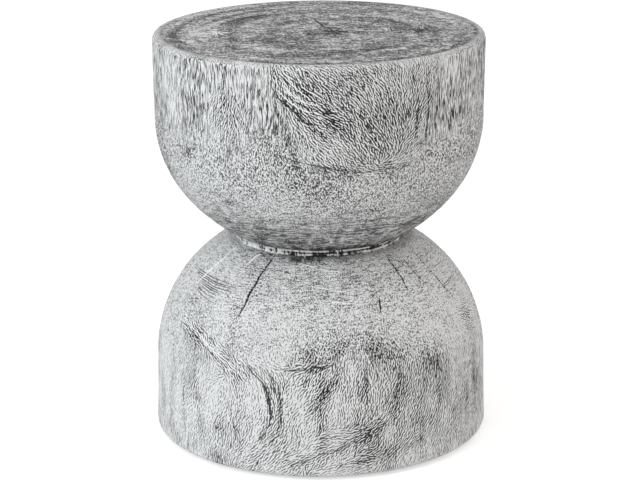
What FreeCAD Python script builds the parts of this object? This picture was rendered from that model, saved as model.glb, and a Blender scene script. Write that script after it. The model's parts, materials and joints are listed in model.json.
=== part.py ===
"""Hourglass side table: two turned log sections drawn together at the waist by a steel rod.

The frame has +Z up along the turning axis, with its origin on the floor under the middle of the foot.
Lengths are in millimetres and angles in degrees.
"""

import FreeCAD, Part
import math
import os
from dataclasses import dataclass

import Sketcher

SIZES = {
    # Upper bowl, whose flat end is the table top
    "bowl_height": 254,
    "rim_diameter": 409,
    "rim_round": 7,
    "bowl_shoulder_diameter": 407,
    "bowl_shoulder_rise": 150,
    "bowl_turn_across_share": 0.66,
    "bowl_turn_rise_share": 0.365,
    "neck_diameter": 220,
    # Lower dome, which is the foot of the table
    "dome_height": 254,
    "foot_diameter": 420,
    "foot_round": 6,
    "dome_shoulder_diameter": 415,
    "dome_shoulder_drop": 158,
    "dome_turn_across_share": 0.59,
    "dome_turn_drop_share": 0.295,
    "dome_neck_step": 6,
    # Filler bead in the groove between the two halves
    "groove_height": 10,
    "groove_depth": 12,
    "bead_thickness": 8,
    "bead_bulge": 1.6,
    "bead_notch_depth": 3.5,
    "bead_notch_width": 1.2,
    # Steel rod through the neck, with the insert, washer and nut that it pulls on
    "rod_diameter": 12,
    "rod_hole_clearance": 1.5,
    "rod_reach": 14,
    "rod_end_chamfer": 1.5,
    "rod_tail": 4,
    "thread_clearance": 0.1,
    "insert_diameter": 20,
    "insert_length": 30,
    "insert_seat_clearance": 0.1,
    "insert_slot_width": 3,
    "insert_slot_depth": 4,
    "bore_end_room": 6,
    "washer_diameter": 44,
    "washer_thickness": 4,
    "washer_hole_clearance": 1.5,
    "nut_flats": 18,
    "nut_height": 10,
    "nut_bevel": 1.2,
    "counterbore_diameter": 60,
    "counterbore_depth": 45,
    # Wooden dowels that stop the halves turning on each other
    "dowel_count": 3,
    "dowel_diameter": 16,
    "dowel_length": 80,
    "dowel_chamfer": 2,
    "dowel_circle": 130,
    "dowel_hole_clearance": 0.1,
    "dowel_end_room": 1,
    "flute_count": 12,
    "flute_width": 1.6,
    "flute_depth": 0.8,
    # Moulded glides under the foot, each on its own nail
    "glide_count": 4,
    "glide_diameter": 30,
    "glide_height": 4,
    "glide_round": 1.5,
    "glide_inset": 45,
    "glide_floor": 1.4,
    "nail_head_diameter": 9,
    "nail_head_height": 1.2,
    "nail_diameter": 2.6,
    "nail_length": 18,
    "nail_point": 4,
}

doc = FreeCAD.newDocument("hourglass_side_table")
sheet = doc.addObject("Spreadsheet::Sheet", "Sizes")
for row, (alias, size) in enumerate(SIZES.items(), start=1):
    sheet.set(f"A{row}", alias)
    sheet.set(f"B{row}", str(size))
    sheet.setAlias(f"B{row}", alias)
doc.recompute()

FULL_TURN = 360


def value(expression):
    """The number that an expression of the sheet stands for."""
    return float(sheet.evalExpression(expression))


@dataclass
class Bend:
    """A round stretch of an outline, from one corner to the next.

    A radius that isn't driven is only where the solver starts: the stretch then follows from starting
    upright, or tangent to the stretch before it.
    """

    radius: str
    turns_left: bool
    upright: bool = False
    tangent: bool = False

    @property
    def driven(self):
        return not (self.upright or self.tangent)


def new_body(label):
    """An empty body whose label names its file."""
    body = doc.addObject("PartDesign::Body", label)
    body.Label = label
    return body


def origin_feature(body, role):
    """One of a body's own origin planes or axes."""
    return next(f for f in body.Origin.OriginFeatures if f.Role == role)


def new_sketch(body, name, role, height=None):
    """A sketch on an origin plane of its body, lifted to a height where one is given."""
    sketch = body.newObject("Sketcher::SketchObject", name)
    sketch.AttachmentSupport = [(origin_feature(body, role), "")]
    sketch.MapMode = "FlatFace"
    if height:
        sketch.setExpression("AttachmentOffset.Base.z", height)
    return sketch


def arc_between(start, end, radius, turns_left):
    """The lesser arc of a radius from one point to another."""
    chord = end - start
    side = FreeCAD.Vector(-chord.y, chord.x, 0)
    side.normalize()
    if not turns_left:
        side = -side
    reach = math.sqrt(max(radius**2 - (chord.Length / 2) ** 2, 0))
    middle = (start + end) / 2
    centre = middle + side * reach
    return Part.Arc(start, centre - side * radius, end)


def end_number(sketch, edge, point):
    """Which end of an edge, 1 or 2, lies at a point."""
    gaps = [(sketch.getPoint(edge, number) - point).Length for number in (1, 2)]
    return 1 + gaps.index(min(gaps))


def hold(sketch, edge, end, axis, expression):
    """Holds one coordinate of an edge's end at an expression of the sheet."""
    if expression == "0":
        on_axis = -2 if axis == "X" else -1
        sketch.addConstraint(Sketcher.Constraint("PointOnObject", edge, end, on_axis))
        return
    number = sketch.addConstraint(
        Sketcher.Constraint("Distance" + axis, -1, 1, edge, end, value(expression))
    )
    sketch.setExpression(f"Constraints[{number}]", expression)


def draw_outline(sketch, corners, bends):
    """Draws a closed outline.

    corners are pairs of expressions, and bends gives the round stretches by the number of the corner
    that they start at.
    """
    points = [FreeCAD.Vector(value(across), value(up), 0) for across, up in corners]
    edges = []
    for number, start in enumerate(points):
        end = points[(number + 1) % len(points)]
        bend = bends.get(number)
        if bend:
            curve = arc_between(start, end, value(bend.radius), bend.turns_left)
        else:
            curve = Part.LineSegment(start, end)
        edges.append(sketch.addGeometry(curve, False))
    ends = [
        (end_number(sketch, edge, points[number]),
         end_number(sketch, edge, points[(number + 1) % len(points)]))
        for number, edge in enumerate(edges)
    ]
    for number, edge in enumerate(edges):
        previous, previous_end = edges[number - 1], ends[number - 1][1]
        bend = bends.get(number)
        joined = "Tangent" if bend and bend.tangent else "Coincident"
        sketch.addConstraint(
            Sketcher.Constraint(joined, previous, previous_end, edge, ends[number][0])
        )
    for number, (across, up) in enumerate(corners):
        hold(sketch, edges[number], ends[number][0], "X", across)
        hold(sketch, edges[number], ends[number][0], "Y", up)
    for number, bend in bends.items():
        if bend.upright:
            start = (edges[number], ends[number][0])
            sketch.addConstraint(Sketcher.Constraint("Horizontal", edges[number], 3, *start))
        if bend.driven:
            radius = sketch.addConstraint(
                Sketcher.Constraint("Radius", edges[number], value(bend.radius))
            )
            sketch.setExpression(f"Constraints[{radius}]", bend.radius)


def turn(body, name, corners, bends=None):
    """A solid turned about the upright axis from half of its section."""
    sketch = new_sketch(body, name + "_section", "XZ_Plane")
    draw_outline(sketch, corners, bends or {})
    turned = body.newObject("PartDesign::Revolution", name)
    turned.Profile = sketch
    turned.ReferenceAxis = (sketch, ["V_Axis"])
    turned.Angle = FULL_TURN
    doc.recompute()
    return turned


def ring_of_holes(body, name, circle, diameter, depth, count, height, upwards):
    """Round holes spread evenly about the axis, drilled up or down from a height."""
    before = body.Shape.Volume
    sketch = new_sketch(body, name + "_place", "XY_Plane", height)
    across, reach = value(circle) / 2, value(diameter) / 2
    hole = sketch.addGeometry(
        Part.Circle(FreeCAD.Vector(across, 0, 0), FreeCAD.Vector(0, 0, 1), reach), False
    )
    hold(sketch, hole, 3, "X", f"{circle} / 2")
    hold(sketch, hole, 3, "Y", "0")
    size = sketch.addConstraint(Sketcher.Constraint("Diameter", hole, value(diameter)))
    sketch.setExpression(f"Constraints[{size}]", diameter)
    drilled = body.newObject("PartDesign::Pocket", name)
    drilled.Profile = sketch
    drilled.Reversed = upwards
    drilled.setExpression("Length", depth)
    doc.recompute()
    pattern = body.newObject("PartDesign::PolarPattern", name + "_ring")
    pattern.Originals = [drilled]
    pattern.Axis = (origin_feature(body, "Z_Axis"), [""])
    pattern.Angle = FULL_TURN
    pattern.setExpression("Occurrences", count)
    body.Tip = pattern
    doc.recompute()
    cut = value(count) * math.pi * reach**2 * value(depth)
    if not math.isclose(before - body.Shape.Volume, cut, rel_tol=1e-3):
        raise RuntimeError(f"{name} cut {before - body.Shape.Volume:.1f}, not {cut:.1f} cubic mm")


def place_on_circle(body, circle, angle, height):
    """Puts a body on a circle about the axis, at a height."""
    body.setExpression("Placement.Base.x", f"{circle} / 2 * cos({angle} * 1 deg)")
    body.setExpression("Placement.Base.y", f"{circle} / 2 * sin({angle} * 1 deg)")
    body.setExpression("Placement.Base.z", height)


# Heights that several pieces share
WAIST = "Sizes.dome_height"
TOP = f"({WAIST} + Sizes.bowl_height)"
FOOT = "Sizes.glide_height"
SHELF_ABOVE = f"({WAIST} + Sizes.groove_height / 2)"
SHELF_BELOW = f"({WAIST} - Sizes.groove_height / 2)"
BOWL_SHOULDER = f"({WAIST} + Sizes.bowl_shoulder_rise)"
DOME_SHOULDER = f"({WAIST} - Sizes.dome_shoulder_drop)"
WASHER_SEAT = f"({FOOT} + Sizes.counterbore_depth)"
NUT_SEAT = f"({WASHER_SEAT} - Sizes.washer_thickness)"
NUT_UNDERSIDE = f"({NUT_SEAT} - Sizes.nut_height)"
INSERT_END = f"({WAIST} + Sizes.insert_length)"
ROD_HEAD = f"({INSERT_END} + Sizes.rod_reach)"
ROD_TAIL = f"({NUT_UNDERSIDE} - Sizes.rod_tail)"
BORE_END = f"({ROD_HEAD} + Sizes.bore_end_room)"

# Radii that several pieces share
BOWL_NECK = "Sizes.neck_diameter / 2"
DOME_NECK = f"({BOWL_NECK} + Sizes.dome_neck_step)"
SPIGOT = f"({BOWL_NECK} - Sizes.groove_depth)"
ROD = "Sizes.rod_diameter / 2"
ROD_HOLE = "(Sizes.rod_diameter + Sizes.rod_hole_clearance) / 2"
THREAD = "(Sizes.rod_diameter + Sizes.thread_clearance) / 2"
INSERT_SEAT = "(Sizes.insert_diameter + Sizes.insert_seat_clearance) / 2"
DOWEL_HOLE = "(Sizes.dowel_diameter + Sizes.dowel_hole_clearance)"
DOWEL_DEPTH = "(Sizes.dowel_length / 2 + Sizes.dowel_end_room)"
GLIDE_CIRCLE = "(Sizes.foot_diameter - 2 * Sizes.glide_inset)"


def between(first, last, share):
    """The expression for a coordinate that lies a share of the way from one to another."""
    return f"({first} + ({last} - {first}) * {share})"


def upright_radius(shoulder, corner):
    """The expression for the radius of an arc that leaves a shoulder upright and runs to a corner."""
    across = f"({shoulder[0]} - {corner[0]})"
    along = f"({shoulder[1]} - {corner[1]})"
    return f"({across} ^ 2 + {along} ^ 2) / (2 * {across})"


def make_upper_bowl():
    """Upper log section: flat table top, upright wall, shoulder and underside drawn in to the neck."""
    body = new_body("upper_bowl")
    rim = "Sizes.rim_diameter / 2"
    shoulder = ("Sizes.bowl_shoulder_diameter / 2", BOWL_SHOULDER)
    corner = (
        between(BOWL_NECK, shoulder[0], "Sizes.bowl_turn_across_share"),
        between(SHELF_ABOVE, shoulder[1], "Sizes.bowl_turn_rise_share"),
    )
    corners = [
        ("0", TOP),
        (f"{rim} - Sizes.rim_round", TOP),
        (rim, f"{TOP} - Sizes.rim_round"),
        shoulder,
        corner,
        (BOWL_NECK, SHELF_ABOVE),
        (SPIGOT, SHELF_ABOVE),
        (SPIGOT, WAIST),
        (INSERT_SEAT, WAIST),
        (INSERT_SEAT, INSERT_END),
        (ROD_HOLE, INSERT_END),
        (ROD_HOLE, BORE_END),
        ("0", BORE_END),
    ]
    shoulder_radius = upright_radius(shoulder, corner)
    bends = {
        1: Bend("Sizes.rim_round", turns_left=False),
        3: Bend(shoulder_radius, turns_left=False, upright=True),
        4: Bend(shoulder_radius, turns_left=False, tangent=True),
    }
    turn(body, "turned_bowl", corners, bends)
    ring_of_holes(body, "dowel_socket", "Sizes.dowel_circle", DOWEL_HOLE, DOWEL_DEPTH,
                  "Sizes.dowel_count", WAIST, upwards=True)
    return body


def make_lower_dome():
    """Lower log section: neck, dome, upright wall and foot, with the rod's hole and counterbore."""
    body = new_body("lower_dome")
    foot = "Sizes.foot_diameter / 2"
    shoulder = ("Sizes.dome_shoulder_diameter / 2", DOME_SHOULDER)
    corner = (
        between(DOME_NECK, shoulder[0], "Sizes.dome_turn_across_share"),
        between(SHELF_BELOW, shoulder[1], "Sizes.dome_turn_drop_share"),
    )
    counterbore = "Sizes.counterbore_diameter / 2"
    corners = [
        (f"{foot} - Sizes.foot_round", FOOT),
        (foot, f"{FOOT} + Sizes.foot_round"),
        shoulder,
        corner,
        (DOME_NECK, SHELF_BELOW),
        (SPIGOT, SHELF_BELOW),
        (SPIGOT, WAIST),
        (ROD_HOLE, WAIST),
        (ROD_HOLE, WASHER_SEAT),
        (counterbore, WASHER_SEAT),
        (counterbore, FOOT),
    ]
    shoulder_radius = upright_radius(shoulder, corner)
    bends = {
        0: Bend("Sizes.foot_round", turns_left=True),
        2: Bend(shoulder_radius, turns_left=True, upright=True),
        3: Bend(shoulder_radius, turns_left=True, tangent=True),
    }
    turn(body, "turned_dome", corners, bends)
    ring_of_holes(body, "dowel_socket", "Sizes.dowel_circle", DOWEL_HOLE, DOWEL_DEPTH,
                  "Sizes.dowel_count", WAIST, upwards=False)
    ring_of_holes(body, "nail_hole", GLIDE_CIRCLE, "Sizes.nail_diameter", "Sizes.nail_length",
                  "Sizes.glide_count", FOOT, upwards=True)
    return body


def make_seam_filler():
    """Bead of filler in the groove round the neck: two rounded ridges with the seam between them."""
    body = new_body("seam_filler")
    crest = f"({SPIGOT} + Sizes.bead_thickness)"
    ridge_root = f"{crest} - Sizes.bead_bulge"
    notch = f"{crest} - Sizes.bead_notch_depth"
    half_notch = "Sizes.bead_notch_width / 2"
    half_ridge = "(Sizes.groove_height - Sizes.bead_notch_width) / 4"
    ridge_radius = f"(({half_ridge}) ^ 2 + Sizes.bead_bulge ^ 2) / (2 * Sizes.bead_bulge)"
    corners = [
        (SPIGOT, SHELF_BELOW),
        (ridge_root, SHELF_BELOW),
        (ridge_root, f"{WAIST} - {half_notch}"),
        (notch, f"{WAIST} - {half_notch}"),
        (notch, f"{WAIST} + {half_notch}"),
        (ridge_root, f"{WAIST} + {half_notch}"),
        (ridge_root, SHELF_ABOVE),
        (SPIGOT, SHELF_ABOVE),
    ]
    bends = {
        1: Bend(ridge_radius, turns_left=True),
        5: Bend(ridge_radius, turns_left=True),
    }
    turn(body, "turned_bead", corners, bends)
    return body


def make_tie_rod():
    """Threaded rod that draws the halves together, bevelled at both ends."""
    body = new_body("tie_rod")
    bevel = "Sizes.rod_end_chamfer"
    corners = [
        ("0", ROD_TAIL),
        (f"{ROD} - {bevel}", ROD_TAIL),
        (ROD, f"{ROD_TAIL} + {bevel}"),
        (ROD, f"{ROD_HEAD} - {bevel}"),
        (f"{ROD} - {bevel}", ROD_HEAD),
        ("0", ROD_HEAD),
    ]
    turn(body, "rod", corners)
    return body


def make_rod_insert():
    """Threaded insert that the rod screws into, with a driving slot across its lower end."""
    body = new_body("rod_insert")
    barrel = "Sizes.insert_diameter / 2"
    corners = [
        (THREAD, WAIST),
        (barrel, WAIST),
        (barrel, INSERT_END),
        (THREAD, INSERT_END),
    ]
    turn(body, "barrel", corners)
    sketch = new_sketch(body, "slot_section", "XZ_Plane")
    half_slot = "Sizes.insert_slot_width / 2"
    slot_end = f"{WAIST} + Sizes.insert_slot_depth"
    draw_outline(
        sketch,
        [(f"-{half_slot}", WAIST), (half_slot, WAIST), (half_slot, slot_end), (f"-{half_slot}", slot_end)],
        {},
    )
    before = body.Shape.Volume
    slot = body.newObject("PartDesign::Pocket", "driving_slot")
    slot.Profile = sketch
    slot.Midplane = True
    slot.setExpression("Length", "2 * Sizes.insert_diameter")
    doc.recompute()
    if body.Shape.Volume >= before:
        raise RuntimeError("the driving slot cut nothing")
    return body


def make_rod_washer():
    """Broad washer that spreads the nut's pull over the end grain."""
    body = new_body("rod_washer")
    hole = "(Sizes.rod_diameter + Sizes.washer_hole_clearance) / 2"
    outside = "Sizes.washer_diameter / 2"
    corners = [(hole, NUT_SEAT), (outside, NUT_SEAT), (outside, WASHER_SEAT), (hole, WASHER_SEAT)]
    turn(body, "washer", corners)
    return body


def make_rod_nut():
    """Hexagon nut, its corners bevelled by a turned blank that the hexagon is cut from."""
    body = new_body("rod_nut")
    corner = "(Sizes.nut_flats / sqrt(3))"
    bevel = "Sizes.nut_bevel"
    bevel_rise = f"{bevel} * tan(30 deg)"
    corners = [
        (THREAD, NUT_UNDERSIDE),
        (f"{corner} - {bevel}", NUT_UNDERSIDE),
        (corner, f"{NUT_UNDERSIDE} + {bevel_rise}"),
        (corner, f"{NUT_SEAT} - {bevel_rise}"),
        (f"{corner} - {bevel}", NUT_SEAT),
        (THREAD, NUT_SEAT),
    ]
    turn(body, "blank", corners)
    sketch = new_sketch(body, "flat_section", "XY_Plane", NUT_UNDERSIDE)
    outside = f"2 * {corner}"
    flat = "Sizes.nut_flats / 2"
    draw_outline(
        sketch,
        [(flat, f"-{outside}"), (outside, f"-{outside}"), (outside, outside), (flat, outside)],
        {},
    )
    before = body.Shape.Volume
    cut = body.newObject("PartDesign::Pocket", "flat")
    cut.Profile = sketch
    cut.Reversed = True
    cut.setExpression("Length", "Sizes.nut_height")
    doc.recompute()
    pattern = body.newObject("PartDesign::PolarPattern", "flats")
    pattern.Originals = [cut]
    pattern.Axis = (origin_feature(body, "Z_Axis"), [""])
    pattern.Angle = FULL_TURN
    pattern.Occurrences = 6
    body.Tip = pattern
    doc.recompute()
    if body.Shape.Volume >= before:
        raise RuntimeError("the nut's flats cut nothing")
    return body


def make_dowel(number):
    """Fluted dowel across the seam, about its own axis and then set on the dowel circle."""
    body = new_body(f"dowel_{number + 1}")
    radius = "Sizes.dowel_diameter / 2"
    bevel = "Sizes.dowel_chamfer"
    half = "Sizes.dowel_length / 2"
    corners = [
        ("0", f"-{half}"),
        (f"{radius} - {bevel}", f"-{half}"),
        (radius, f"-{half} + {bevel}"),
        (radius, f"{half} - {bevel}"),
        (f"{radius} - {bevel}", half),
        ("0", half),
    ]
    turn(body, "peg", corners)
    sketch = new_sketch(body, "flute_section", "XY_Plane", f"-{half}")
    half_flute = "Sizes.flute_width / 2"
    bottom = f"{radius} - Sizes.flute_depth"
    outside = f"{radius} + Sizes.flute_depth"
    draw_outline(sketch, [(bottom, "0"), (outside, f"-{half_flute} * 2"), (outside, f"{half_flute} * 2")], {})
    before = body.Shape.Volume
    flute = body.newObject("PartDesign::Pocket", "flute")
    flute.Profile = sketch
    flute.Reversed = True
    flute.setExpression("Length", "Sizes.dowel_length")
    doc.recompute()
    pattern = body.newObject("PartDesign::PolarPattern", "flutes")
    pattern.Originals = [flute]
    pattern.Axis = (origin_feature(body, "Z_Axis"), [""])
    pattern.Angle = FULL_TURN
    pattern.setExpression("Occurrences", "Sizes.flute_count")
    body.Tip = pattern
    angle = f"({number} * {FULL_TURN} / Sizes.dowel_count)"
    place_on_circle(body, "Sizes.dowel_circle", angle, WAIST)
    doc.recompute()
    if body.Shape.Volume >= before:
        raise RuntimeError("the flutes cut nothing")
    return body


NAIL = "Sizes.nail_diameter / 2"
NAIL_HEAD = "Sizes.nail_head_diameter / 2"
HEAD_FLOOR = "Sizes.glide_floor"
HEAD_TOP = f"({HEAD_FLOOR} + Sizes.nail_head_height)"
NAIL_END = f"({FOOT} + Sizes.nail_length)"


def make_glide(number):
    """Moulded glide with a rounded edge, closed round the head of its nail."""
    body = new_body(f"glide_{number + 1}")
    outside = "Sizes.glide_diameter / 2"
    corners = [
        ("0", "0"),
        (f"{outside} - Sizes.glide_round", "0"),
        (outside, "Sizes.glide_round"),
        (outside, FOOT),
        (NAIL, FOOT),
        (NAIL, HEAD_TOP),
        (NAIL_HEAD, HEAD_TOP),
        (NAIL_HEAD, HEAD_FLOOR),
        ("0", HEAD_FLOOR),
    ]
    turn(body, "disc", corners, {1: Bend("Sizes.glide_round", turns_left=True)})
    angle = f"({number} * {FULL_TURN} / Sizes.glide_count)"
    place_on_circle(body, GLIDE_CIRCLE, angle, "0")
    return body


def make_glide_nail(number):
    """Nail moulded into a glide and driven up into the foot."""
    body = new_body(f"glide_nail_{number + 1}")
    corners = [
        ("0", HEAD_FLOOR),
        (NAIL_HEAD, HEAD_FLOOR),
        (NAIL_HEAD, HEAD_TOP),
        (NAIL, HEAD_TOP),
        (NAIL, f"{NAIL_END} - Sizes.nail_point"),
        ("0", NAIL_END),
    ]
    turn(body, "nail", corners)
    angle = f"({number} * {FULL_TURN} / Sizes.glide_count)"
    place_on_circle(body, GLIDE_CIRCLE, angle, "0")
    return body


pieces = [
    make_upper_bowl(),
    make_lower_dome(),
    make_seam_filler(),
    make_tie_rod(),
    make_rod_insert(),
    make_rod_washer(),
    make_rod_nut(),
]
pieces += [make_dowel(number) for number in range(int(value("Sizes.dowel_count")))]
pieces += [make_glide(number) for number in range(int(value("Sizes.glide_count")))]
pieces += [make_glide_nail(number) for number in range(int(value("Sizes.glide_count")))]
doc.recompute()

for item in doc.Objects:
    if {"Invalid", "Error"} & set(item.State):
        raise RuntimeError(f"{item.Label} failed to build: {item.State}")
for piece in pieces:
    if piece.Shape.isNull() or not piece.Shape.isValid() or not piece.Shape.Solids:
        raise RuntimeError(f"{piece.Label} has no valid solid")

os.makedirs("parts", exist_ok=True)
for piece in pieces:
    piece.Shape.exportStep(f"parts/{piece.Label}.step")
    print(f"{piece.Label}: {len(piece.Shape.Solids)} solid, {piece.Shape.Volume / 1000:.2f} cubic cm")
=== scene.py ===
"""Looks of the hourglass side table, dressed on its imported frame.

Two whitewashed log sections, the ragged bead of filler between them and the hardware that holds them.
Lengths are in metres, +Z is up, and the viewer stands on the -Y side. An azimuth is measured about the
turning axis from the viewer's side, positive to the viewer's right.
"""

import itertools
import json
import logging
import math
from collections.abc import Iterator
from dataclasses import dataclass, field
from enum import Enum

import bpy
import numpy as np
from mathutils import Matrix, Vector


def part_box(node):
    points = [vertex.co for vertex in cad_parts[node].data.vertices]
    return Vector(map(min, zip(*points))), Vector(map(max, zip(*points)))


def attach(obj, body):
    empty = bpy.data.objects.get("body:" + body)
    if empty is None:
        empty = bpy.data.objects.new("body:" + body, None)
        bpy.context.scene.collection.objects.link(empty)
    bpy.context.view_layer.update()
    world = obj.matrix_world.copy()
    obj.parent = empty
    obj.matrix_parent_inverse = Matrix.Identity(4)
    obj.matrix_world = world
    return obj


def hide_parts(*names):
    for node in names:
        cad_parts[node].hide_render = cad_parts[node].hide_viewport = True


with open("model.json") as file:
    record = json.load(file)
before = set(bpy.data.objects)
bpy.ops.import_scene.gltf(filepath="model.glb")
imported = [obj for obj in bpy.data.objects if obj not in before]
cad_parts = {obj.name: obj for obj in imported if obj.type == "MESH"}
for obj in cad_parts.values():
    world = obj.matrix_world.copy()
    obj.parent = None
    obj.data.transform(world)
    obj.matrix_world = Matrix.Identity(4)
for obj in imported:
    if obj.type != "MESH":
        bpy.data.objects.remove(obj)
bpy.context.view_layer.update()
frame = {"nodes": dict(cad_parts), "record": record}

LOG = logging.getLogger("hourglass_table")
ROOT = "root"
MM = 0.001
BEAD_DEPTH = 8 * MM
ROD_CLEARANCE = 0.75 * MM
ROD_END_GAP = 6 * MM
INSERT_CLEARANCE = 0.05 * MM
WASHER_MARGIN = 8 * MM
FINE_SPACING = 1 * MM

HASH_PRIMES = np.array([73856093, 19349663, 83492791])
HASH_SEED = 2654435
HASH_MIX = 1274126177
HASH_TOP = 0xFFFF

Array = np.ndarray
Pair = tuple[float, float]
Triple = tuple[float, float, float]
Colour = tuple[float, float, float, float]
Places = tuple[Pair, ...]
Piece = bpy.types.Object
Material = bpy.types.Material
Node = bpy.types.Node
Socket = bpy.types.NodeSocket
Source = Socket | float | tuple


def grey(level: float, warmth: float = 0.0) -> Colour:
    """A grey of a linear level, turned a little warm or, below zero, cool."""
    return (level * (1 + warmth), level, level * (1 - warmth), 1.0)


# Noise and curves

def lattice_noise(points: Array, seed: int) -> Array:
    """Smooth noise from -1 to 1.

    Each whole-number lattice point gets a hashed value, and the eight round a point are blended by
    smoothstep weights.

    Args:
        points: places in lattice units, of shape (..., 3).
        seed: picks one of many noises.

    Returns:
        One value per place.
    """
    base = np.floor(points).astype(np.int64)
    part = points - base
    ease = part * part * (3 - 2 * part)
    total = np.zeros(points.shape[:-1])
    for corner in itertools.product((0, 1), repeat=3):
        key = np.bitwise_xor.reduce((base + np.array(corner)) * HASH_PRIMES, axis=-1) ^ seed * HASH_SEED
        key = (key ^ (key >> 13)) * HASH_MIX & 0xFFFFFFFF
        key = (key ^ (key >> 16)) & HASH_TOP
        weight = np.prod(np.where(np.array(corner) == 1, ease, 1 - ease), axis=-1)
        total += weight * (key / (HASH_TOP / 2) - 1)
    return total


def layered_noise(points: Array, seed: int, layers: int = 3) -> Array:
    """Lattice noise with finer layers, each of twice the frequency and half the strength."""
    return sum(lattice_noise(points * 2**layer, seed + layer) / 2**layer for layer in range(layers))


def line_noise(along: Array, number: int, seed: int, layers: int = 1) -> Array:
    """Noise along a line, where the number picks one of many lines."""
    return layered_noise(np.stack([along, along * 0 + number, along * 0], -1), seed, layers)


def smooth_step(low: float, high: float, values: Array) -> Array:
    """Zero below low and one above high, eased between."""
    share = np.clip((values - low) / (high - low), 0, 1)
    return share * share * (3 - 2 * share)


def arc(centre: Array, radius: float, first: float, last: float, count: int) -> Array:
    """Points on a circle's arc: centre + radius * (cos, sin) of evenly spread angles."""
    angle = np.linspace(first, last, count)[:, None]
    return centre + radius * np.hstack([np.cos(angle), np.sin(angle)])


def line(start: Pair, end: Pair, count: int) -> Array:
    """Evenly spread points on a straight run, without its end."""
    share = np.linspace(0, 1, count, endpoint=False)[:, None]
    return np.array(start) * (1 - share) + np.array(end) * share


def resample(points: Array, spacing: float) -> Array:
    """The same curve with points about one spacing apart along its length."""
    steps = np.linalg.norm(np.diff(points, axis=0), axis=1)
    along = np.concatenate([[0], np.cumsum(steps)])
    count = max(int(round(along[-1] / spacing)), 1)
    places = np.linspace(0, along[-1], count + 1)
    return np.column_stack([np.interp(places, along, column) for column in points.T])


def round_table(radius: Array, azimuth: Array, height: Array) -> Array:
    """Points at a radius, azimuth and height about the turning axis."""
    radius, azimuth, height = np.broadcast_arrays(radius, azimuth, height)
    return np.stack([radius * np.sin(azimuth), -radius * np.cos(azimuth), height], axis=-1)


@dataclass(frozen=True)
class RoundNoise:
    """Noise round and up the table, on a cylinder of so many lattice cells' radius.

    Its seed lies a step from that of the half that it is for.
    """

    radius_cells: float
    cell_height: float
    seed_step: int = 0
    layers: int = 1

    def at(self, azimuth: Array, height: Array, seed: int) -> Array:
        """The noise at each place."""
        cells = round_table(self.radius_cells, azimuth, height / self.cell_height)
        return layered_noise(cells, seed + self.seed_step, self.layers)


WALL_WAVER = RoundNoise(1.4, 110 * MM)
BROAD_WANDER = RoundNoise(2.2, 95 * MM, 1)
FINE_WANDER = RoundNoise(6.5, 26 * MM, 2)
BROAD_SWELL = RoundNoise(1.9, 105 * MM, 4)
FINE_SWELL = RoundNoise(5.0, 40 * MM, 5)
WASH_CLOUDS = RoundNoise(3.2, 60 * MM, 6, 3)
FIGURE_BREAKS = RoundNoise(22.0, 14 * MM, 9, 3)
LONG_GRAIN_EDGE = RoundNoise(6.0, 30 * MM, 2, 3)
PORE_CLUSTERS = RoundNoise(13.0, 55 * MM, 7, 3)
LEAN_WAVER = RoundNoise(14.0, 15 * MM, 10, 3)
BAND_WAVER = RoundNoise(2.0, 50 * MM)
END_BANDS = RoundNoise(1.6, 12 * MM, 0, 3)


# Meshes

def grid_faces(rows: int, columns: int, close_rows: bool) -> Array:
    """Four-cornered faces of a grid whose columns close on themselves, and whose rows may too."""
    row = np.arange(rows if close_rows else rows - 1)[:, None]
    column = np.arange(columns)[None, :]
    next_row = (row + 1) % rows
    next_column = (column + 1) % columns
    corners = [row * columns + column, row * columns + next_column,
               next_row * columns + next_column, next_row * columns + column]
    return np.stack(np.broadcast_arrays(*corners), axis=-1).reshape(-1, 4)


def cap_faces(ring: Array, centre: int, flip: bool) -> Array:
    """Three-cornered faces from a closed ring of vertices to one vertex at its middle."""
    first, second = ring, np.roll(ring, -1)
    if flip:
        first, second = second, first
    return np.column_stack([first, second, np.full_like(first, centre)])


def signed_volume(vertices: Array, triangles: Array) -> float:
    """Volume inside a closed surface: a sixth of the sum of its corners' triple products."""
    a, b, c = (vertices[triangles[:, corner]] for corner in range(3))
    return float(np.einsum("ij,ij->", a, np.cross(b, c)) / 6)


def grid_piece(
    name: str,
    points: Array,
    close_rows: bool,
    marks: dict[str, Array] | None = None,
    sharp_degrees: float = 40.0,
) -> Piece:
    """A closed mesh from a grid of points whose columns close on themselves.

    Args:
        name: the piece's name.
        points: places of shape (rows, columns, 3).
        close_rows: joins the last row to the first; otherwise each end row is capped at its middle.
        marks: attributes for the materials, of shape (rows, columns) or (rows, columns, 3).
        sharp_degrees: edges that turn by more than this shade as sharp.

    Returns:
        The piece's object, in the scene.
    """
    rows, columns = points.shape[:2]
    vertices = points.reshape(-1, 3)
    quads = grid_faces(rows, columns, close_rows)
    caps = np.empty((0, 3), dtype=int)
    ends = [] if close_rows else [0, rows - 1]
    if ends:
        vertices = np.vstack([vertices, [points[end].mean(axis=0) for end in ends]])
        caps = np.vstack([
            cap_faces(end * columns + np.arange(columns), rows * columns + order, flip=end == 0)
            for order, end in enumerate(ends)
        ])
    triangles = np.vstack([quads[:, [0, 1, 2]], quads[:, [0, 2, 3]], caps])
    if signed_volume(vertices, triangles) < 0:
        quads, caps = quads[:, ::-1], caps[:, ::-1]
    mesh = bpy.data.meshes.new(name)
    mesh.from_pydata(vertices.tolist(), [], quads.tolist() + caps.tolist())
    for mark, values in (marks or {}).items():
        add_mark(mesh, mark, values, ends)
    mesh.polygons.foreach_set("use_smooth", np.ones(len(mesh.polygons), dtype=bool))
    mesh.set_sharp_from_angle(angle=math.radians(sharp_degrees))
    mesh.validate()
    piece = bpy.data.objects.new(name, mesh)
    bpy.context.collection.objects.link(piece)
    return piece


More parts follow.
